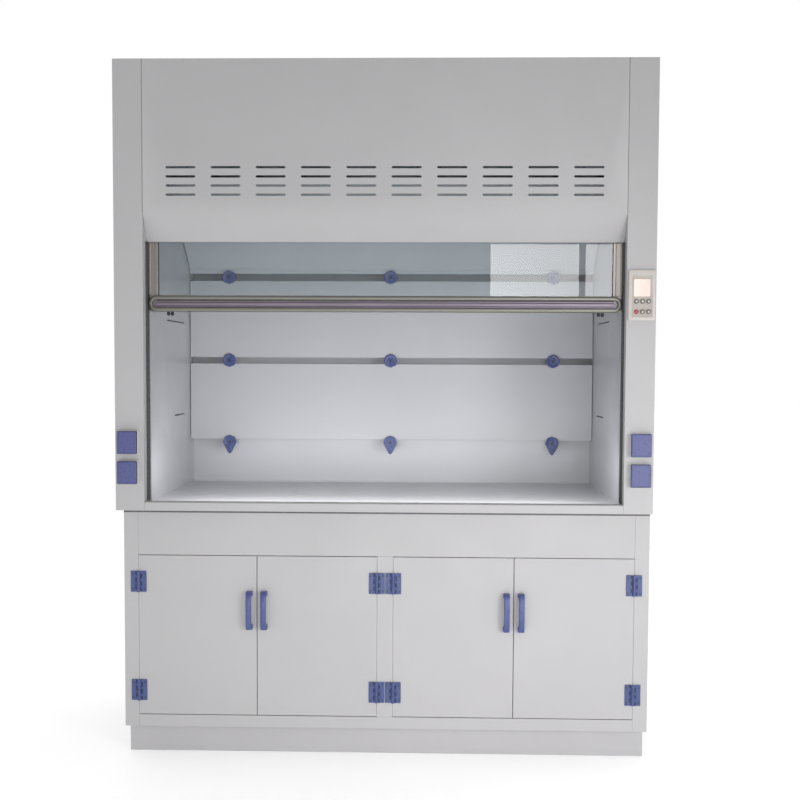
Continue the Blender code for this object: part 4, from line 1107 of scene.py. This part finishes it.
def build_belt(node, x, axle_y, top_z, low_z, half):
    """Toothed belt: a smooth back and teeth all along its inner side."""
    straight = top_z - low_z
    bend = math.pi * BELT_LAND_R
    total = 2 * straight + math.tau * BELT_LAND_R
    count = int(total / BELT_PITCH) * 4
    rings = []
    for index in range(count):
        place = total * index / count
        inner = BELT_TOOTH_R if index % 4 in (1, 2) else BELT_LAND_R
        if place < straight:
            centre_z, turn = low_z + place, 0.0
        elif place < straight + bend:
            centre_z, turn = top_z, (place - straight) / BELT_LAND_R
        elif place < 2 * straight + bend:
            centre_z, turn = top_z - (place - straight - bend), math.pi
        else:
            centre_z, turn = low_z, math.pi + (place - 2 * straight - bend) / BELT_LAND_R
        out = Vector((0, math.cos(turn), math.sin(turn)))
        middle = Vector((x, axle_y, centre_z))
        corners = ((-half, BELT_BACK_R), (half, BELT_BACK_R), (half, inner), (-half, inner))
        rings.append([middle + out * reach + Vector((across, 0, 0)) for across, reach in corners])
    bm = bmesh.new()
    skin(bm, rings, closed=True)
    piece(f"{node}_toothed", bm, node, LOOKS["rubber"], sharp=30, replaces=[node])


def build_weight(node):
    """Stacked flat weights with the belt clamp on the front, held by two screws."""
    low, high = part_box(node)
    clamp_top = high.z - 0.005
    front = low.y + 0.023
    bm = bmesh.new()
    height = (high.z - low.z) / WEIGHT_PLATES
    for index in range(WEIGHT_PLATES):
        bottom = low.z + index * height + 0.0004
        plate_high = (high.x, high.y, bottom + height - 0.0008)
        soft_box(bm, (low.x, front, bottom), plate_high, 0.004, "Z", 4, 0.0012)
    piece(f"{node}_plates", bm, node, LOOKS["cast"], replaces=[node])
    side = 1 if low.x > 0 else -1
    belt_low, belt_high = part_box("belt_right")
    x = side * middle_of(belt_low.x, belt_high.x)
    rear_run = front - 0.012
    face = rear_run - 0.011
    grip = bmesh.new()
    for near, far in ((face, rear_run - 0.0014), (rear_run + 0.0014, front + 0.0005)):
        plate_low = (x - 0.014, near, clamp_top - CLAMP_TALL)
        soft_box(grip, plate_low, (x + 0.014, far, clamp_top), 0.002, "Y", 3, 0.0005)
    for place in (-0.012, 0.012):
        centre = (x - side * 0.0105, face, clamp_top - CLAMP_TALL / 2 + place)
        screw(grip, centre, (0, -1, 0), 0.0028, 0.0012)
    piece(f"{node}_clamp", grip, node, LOOKS["steel"])


# ---------------------------------------------------------------- controls


def build_controller():
    """Controller case with its sunk field, the display window and six push buttons."""
    node = "controller_housing"
    low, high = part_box(node)
    screen_low, screen_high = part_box("controller_display")
    face = low.y
    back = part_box("side_shell_right")[0].y - GAP
    names = [f"button_{line}_{column}" for line in (1, 2) for column in (1, 2, 3)]
    buttons = [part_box(name) for name in names]
    field_low = (screen_low.x - 0.007, buttons[3][0].z - 0.010)
    field_high = (screen_high.x + 0.007, screen_high.z + 0.012)
    bm = bmesh.new()
    case = [(back, 0.0), (face + 0.0010, 0.0), (face + GAP, 0.0010), (face, 0.0020)]
    sunk = [(face, 0.0), (face + 0.0006, 0.0005), (face + 0.0036, 0.0005)]
    outer = (low.x, low.z), (high.x, high.z)
    rings = []
    for corners, levels in ((outer, case), ((field_low, field_high), sunk)):
        for level, inset in levels:
            outline = round_outline(*corners, 0.003, inset)
            rings.append([lay("Y", level, point) for point in outline])
    skin(bm, rings)
    box(bm, (low.x + 0.014, back - 0.001, low.z + 0.021), (high.x - 0.014, high.y, high.z - 0.019))
    piece("controller_case", bm, node, LOOKS["cream"], sharp=30, replaces=[node])

    field = bmesh.new()
    plate_low = lay("Y", face + FIELD_DEPTH, field_low)
    soft_box(field, plate_low[:], lay("Y", face + 0.0050, field_high)[:], 0.004)
    clear = 0.0006
    split = buttons[0][1].z + 0.0015
    over = screen_high.z + clear
    spans = [
        ((field_low[0], over), field_high),
        ((field_low[0], split), (screen_low.x - clear, over)),
        ((screen_high.x + clear, split), (field_high[0], over)),
    ]
    for near, far in spans:
        corners = lay("Y", face + FIELD_STEP, near)[:], lay("Y", face + 0.0034, far)[:]
        soft_box(field, *corners, 0.0005, "Y", 2)
    piece("controller_field", field, node, LOOKS["field"], sharp=30)

    node = "controller_display"
    film = bmesh.new()
    soft_box(film, screen_low[:], screen_high[:], 0.0015, "Y", 4, 0.0004)
    piece("controller_window", film, node, LOOKS["screen"], sharp=30, replaces=[node])
    for name, (low, high) in zip(names, buttons):
        build_button(name, low, high, face)


def build_button(node, low, high, face):
    """Push button: a dark moulded ring with a light domed cap in it."""
    centre = (middle_of(low.x, high.x), middle_of(low.z, high.z))
    radius = (high.x - low.x) / 2
    hole = radius - BUTTON_RIM
    rear = face + FIELD_DEPTH - BUTTON_TRAVEL
    ring = bmesh.new()
    rim = [(0.0012, 0.0), (0.0004, 0.0004), (0.0002, 0.0012), (0.0004, 0.0030), (0.0012, BUTTON_RIM)]
    turned = [(low.y + step, radius - inset) for step, inset in rim]
    profile = [(rear, radius), *turned, (rear - 0.0004, hole)]
    lathe(ring, "Y", centre, profile, 40, closed=True)
    reach = hole - 0.0002
    turns = [step / 6 * math.pi / 2 for step in range(7)]
    dome = [(low.y + 0.0001 + 0.0014 * (1 - math.cos(turn)), reach * math.sin(turn)) for turn in turns]
    tinted(ring, lathe, "Y", centre, dome + [(rear - 0.0003, reach)], 32)
    red = SLOT_OF[node] == "red_button"
    looks = [LOOKS["red_ring"], LOOKS["red"]] if red else [LOOKS["ring"], LOOKS["cap"]]
    piece(f"{node}_push", ring, node, looks, replaces=[node])


def build_sockets():
    """On each column, two socket outlets with their lids on one base."""
    for name in ("left", "right"):
        node = f"socket_unit_{name}"
        low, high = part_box(node)
        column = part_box(f"side_shell_{name}")[0].y
        pin_y = JOINTS[f"socket_lid_{name}_upper_hinge"]["pos_m"][1]
        face = low.y
        x = middle_of(low.x, high.x)
        half = (high.x - low.x) / 2
        places = ("lower", "upper")
        lids = [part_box(f"socket_lid_{name}_{place}") for place in places]
        heights = [middle_of(lid_low.z, lid_high.z) for lid_low, lid_high in lids]
        bm = bmesh.new()
        for z in heights:
            base_low = (x - half, face, z - SOCKET_BACK)
            soft_box(bm, base_low, (x + half, column - GAP, z + SOCKET_BACK), 0.0030, "Y", 4, 0.0010)
            for side in (-1, 1):
                pin = sorted([(x + side * 0.012, 0.0018), (x + side * 0.028, 0.0018)])
                lathe(bm, "X", (pin_y, z + 0.0345), pin, 16)
        bridge_low = (x - 0.0205, column + 0.0002, low.z + 0.012)
        tinted(bm, box, bridge_low, (x + 0.0205, high.y - 0.030, high.z - 0.012))
        box(bm, (x - 0.0275, column + 0.0083, low.z + 0.009), (x + 0.0275, high.y, high.z - 0.009))
        looks = [LOOKS["socket"], LOOKS["board"]]
        piece(f"{node}_base", bm, node, looks, sharp=30, replaces=[node])
        insert = bmesh.new()
        for z in heights:
            outlet(insert, x, z - 0.003, face)
        # The black inlays are painted shade standing in for the slot holes.
        piece(f"{node}_painted_slot_shade", insert, node, LOOKS["rubber"])
        for place, (lid_low, lid_high) in zip(places, lids):
            build_lid(f"socket_lid_{name}_{place}", lid_low, lid_high)


def outlet(bm, x, z, face):
    """Three contact slots, not cut but drawn as thin black inlays: painted shade of the slot holes."""
    for offset, bottom, top in ((-0.011, 0.003, 0.012), (0.011, 0.003, 0.012), (0.0, -0.012, -0.003)):
        slot_low = (x + offset - CONTACT_HALF, face - CONTACT_PROUD, z + bottom)
        slot_high = (x + offset + CONTACT_HALF, face + CONTACT_PROUD, z + top)
        soft_box(bm, slot_low, slot_high, 0.0006, "Y", 2)


def build_lid(node, low, high):
    """Flip lid: a shallow moulded tray whose raised border is painted darker as shade, and a thumb lip."""
    bm = bmesh.new()
    face = low.y
    back = high.y
    centre_x = middle_of(low.x, high.x)
    centre_z = middle_of(low.z, high.z)
    half_x = (high.x - low.x) / 2
    half_z = (high.z - low.z) / 2
    outline = round_outline((low.x, low.z), (high.x, high.z), 0.0030, 0.0, 5)

    def ring(level, inset):
        flat = []
        for x, z in outline:
            near_x = centre_x + (x - centre_x) * (half_x - inset) / half_x
            flat.append((near_x, centre_z + (z - centre_z) * (half_z - inset) / half_z))
        return [lay("Y", level, point) for point in flat]

    inside = [(back - 0.0024, 0.0024), (back, 0.0020), (back, 0.0002), (back - 0.0006, 0.0)]
    border = [(face + 0.0022, 0.0), (face + 0.0008, 0.0006), (face, 0.0018), (face, 0.0044)]
    skin(bm, [ring(level, inset) for level, inset in inside + border + [(face + 0.0008, 0.0050)]])
    # Faces near the outline take the darker blue: painted shade along the border.
    for part in bm.faces:
        middle = part.calc_center_median()
        edge = min(middle.x - low.x, high.x - middle.x, middle.z - low.z, high.z - middle.z)
        part.material_index = 1 if edge < LID_SHADE_BAND else 0
    lip_low = (centre_x - 0.012, face + 0.0020, low.z)
    soft_box(bm, lip_low, (centre_x + 0.012, face + 0.0050, low.z + 0.003), 0.001, "Y", 3, 0.0004)
    looks = [LOOKS["lid"], LOOKS["lid_rim_painted_shade"]]
    piece(f"{node}_moulded", bm, node, looks, sharp=35, replaces=[node])


# ---------------------------------------------------------------- studio


CAMERA_PLACE = Vector((0.15102, -4.41083, 1.34678))
CAMERA_TURNS = (-1.5656, -3.1741, 0.2453)
CAMERA_LENS = 53.86
CAMERA_SHIFT = (0.00558, 0.03803)
FLOOR_REACH = 30.0
# Each light as (name, place, target, size, power in watts, spread in degrees).
LIGHTS = (
    ("key", (2.2, -3.4, 1.25), (0.2, 0, 0.65), (0.8, 0.8), 6.5, 75),
    ("low_front", (0.3, -2.4, 0.45), (0, 0, 0.40), (2.4, 0.6), 5.1, 110),
    ("chamber_fill", (0, -0.352, 0.99), (0, 0.44, 0.90), (1.45, 0.12), 3.5, 180),
    ("plenum_fill", (0, 0.366, 1.28), (0, 1.0, 1.28), (1.5, 0.75), 0.75, 180),
)
# The windows' height, place and brightness, and each one as (name, centre x, width).
WINDOW_TALL = 0.95
WINDOW_Y = -6.5
WINDOW_Z = 2.225
WINDOW_GLOW = 9.0
WINDOWS = (("window_left", 1.046, 0.748), ("window_right", 1.688, 0.425))


def build_camera():
    """Camera in front of the hood, a little to the right of its centre, at chest height."""
    camera = bpy.data.objects.new("camera", bpy.data.cameras.new("camera"))
    bpy.context.scene.collection.objects.link(camera)
    yaw, pitch, roll = [math.radians(turn) for turn in CAMERA_TURNS]
    ahead = math.cos(pitch)
    forward = Vector((math.sin(yaw) * ahead, math.cos(yaw) * ahead, math.sin(pitch)))
    level = Vector((math.cos(yaw), -math.sin(yaw), 0.0))
    upward = level.cross(forward)
    right = level * math.cos(roll) + upward * math.sin(roll)
    upward = right.cross(forward)
    turn = Matrix((right, upward, -forward)).transposed()
    camera.matrix_world = Matrix.Translation(CAMERA_PLACE) @ turn.to_4x4()
    camera.data.sensor_width = 36.0
    camera.data.lens = CAMERA_LENS
    camera.data.shift_x, camera.data.shift_y = CAMERA_SHIFT
    bpy.context.scene.camera = camera


def area_light(name, place, target, size, power, spread):
    """Soft light that is seen neither directly nor through the glass."""
    light = bpy.data.lights.new(name, "AREA")
    light.shape = "RECTANGLE"
    light.size, light.size_y = size
    light.energy = power
    light.spread = math.radians(spread)
    obj = bpy.data.objects.new(name, light)
    bpy.context.scene.collection.objects.link(obj)
    obj.location = place
    obj.rotation_euler = (Vector(target) - Vector(place)).to_track_quat("-Z", "Y").to_euler()
    obj.visible_camera = False
    obj.visible_transmission = False
    return obj


def build_world():
    """White behind the hood and dimmer on the side it faces, so that the lights shape its front."""
    world = bpy.data.worlds.new("studio")
    world.use_nodes = True
    tree = world.node_tree
    direction = tree.nodes.new("ShaderNodeTexCoord").outputs["Generated"]
    parts = tree.nodes.new("ShaderNodeSeparateXYZ")
    tree.links.new(direction, parts.inputs[0])
    turn = tree.nodes.new("ShaderNodeMapRange")
    turn.interpolation_type = "SMOOTHSTEP"
    tree.links.new(parts.outputs["Y"], turn.inputs["Value"])
    for socket, value in (("From Min", -0.35), ("From Max", 0.55), ("To Min", 0.54), ("To Max", 1.0)):
        turn.inputs[socket].default_value = value
    background = tree.nodes["Background"]
    background.inputs["Color"].default_value = (1.0, 1.0, 1.0, 1.0)
    seen = tree.nodes.new("ShaderNodeMath")
    seen.operation = "MAXIMUM"
    tree.links.new(turn.outputs["Result"], seen.inputs[0])
    tree.links.new(tree.nodes.new("ShaderNodeLightPath").outputs["Is Camera Ray"], seen.inputs[1])
    tree.links.new(seen.outputs[0], background.inputs["Strength"])
    bpy.context.scene.world = world


def build_studio():
    """Floor, world and lights. The windows show only as reflections in the glass and gloss."""
    bm = bmesh.new()
    reach = FLOOR_REACH
    level = CAD_BOX[0].z - 0.0005
    corners = [(-reach, -reach), (reach, -reach), (reach, reach), (-reach, reach)]
    bm.faces.new([bm.verts.new((x, y, level)) for x, y in corners])
    mesh = bpy.data.meshes.new("floor")
    bm.to_mesh(mesh)
    bm.free()
    floor = bpy.data.objects.new("floor", mesh)
    mesh.materials.append(floor_look())
    bpy.context.scene.collection.objects.link(floor)
    build_world()
    for light in LIGHTS:
        area_light(*light)
    for name, x, wide in WINDOWS:
        power = math.pi * wide * WINDOW_TALL * WINDOW_GLOW
        place = (x, WINDOW_Y, WINDOW_Z)
        window = area_light(name, place, (x, 0, WINDOW_Z), (wide, WINDOW_TALL), power, 180)
        window.visible_diffuse = False
    bpy.context.scene.view_settings.view_transform = "Standard"


carry_over_sheets()
build_face_frame()
build_worktop()
build_doors()
build_hangers()
build_seams()
build_lamp()
build_duct()
build_fixings()
build_sash()
build_drive()
build_controller()
build_sockets()
build_studio()
build_camera()
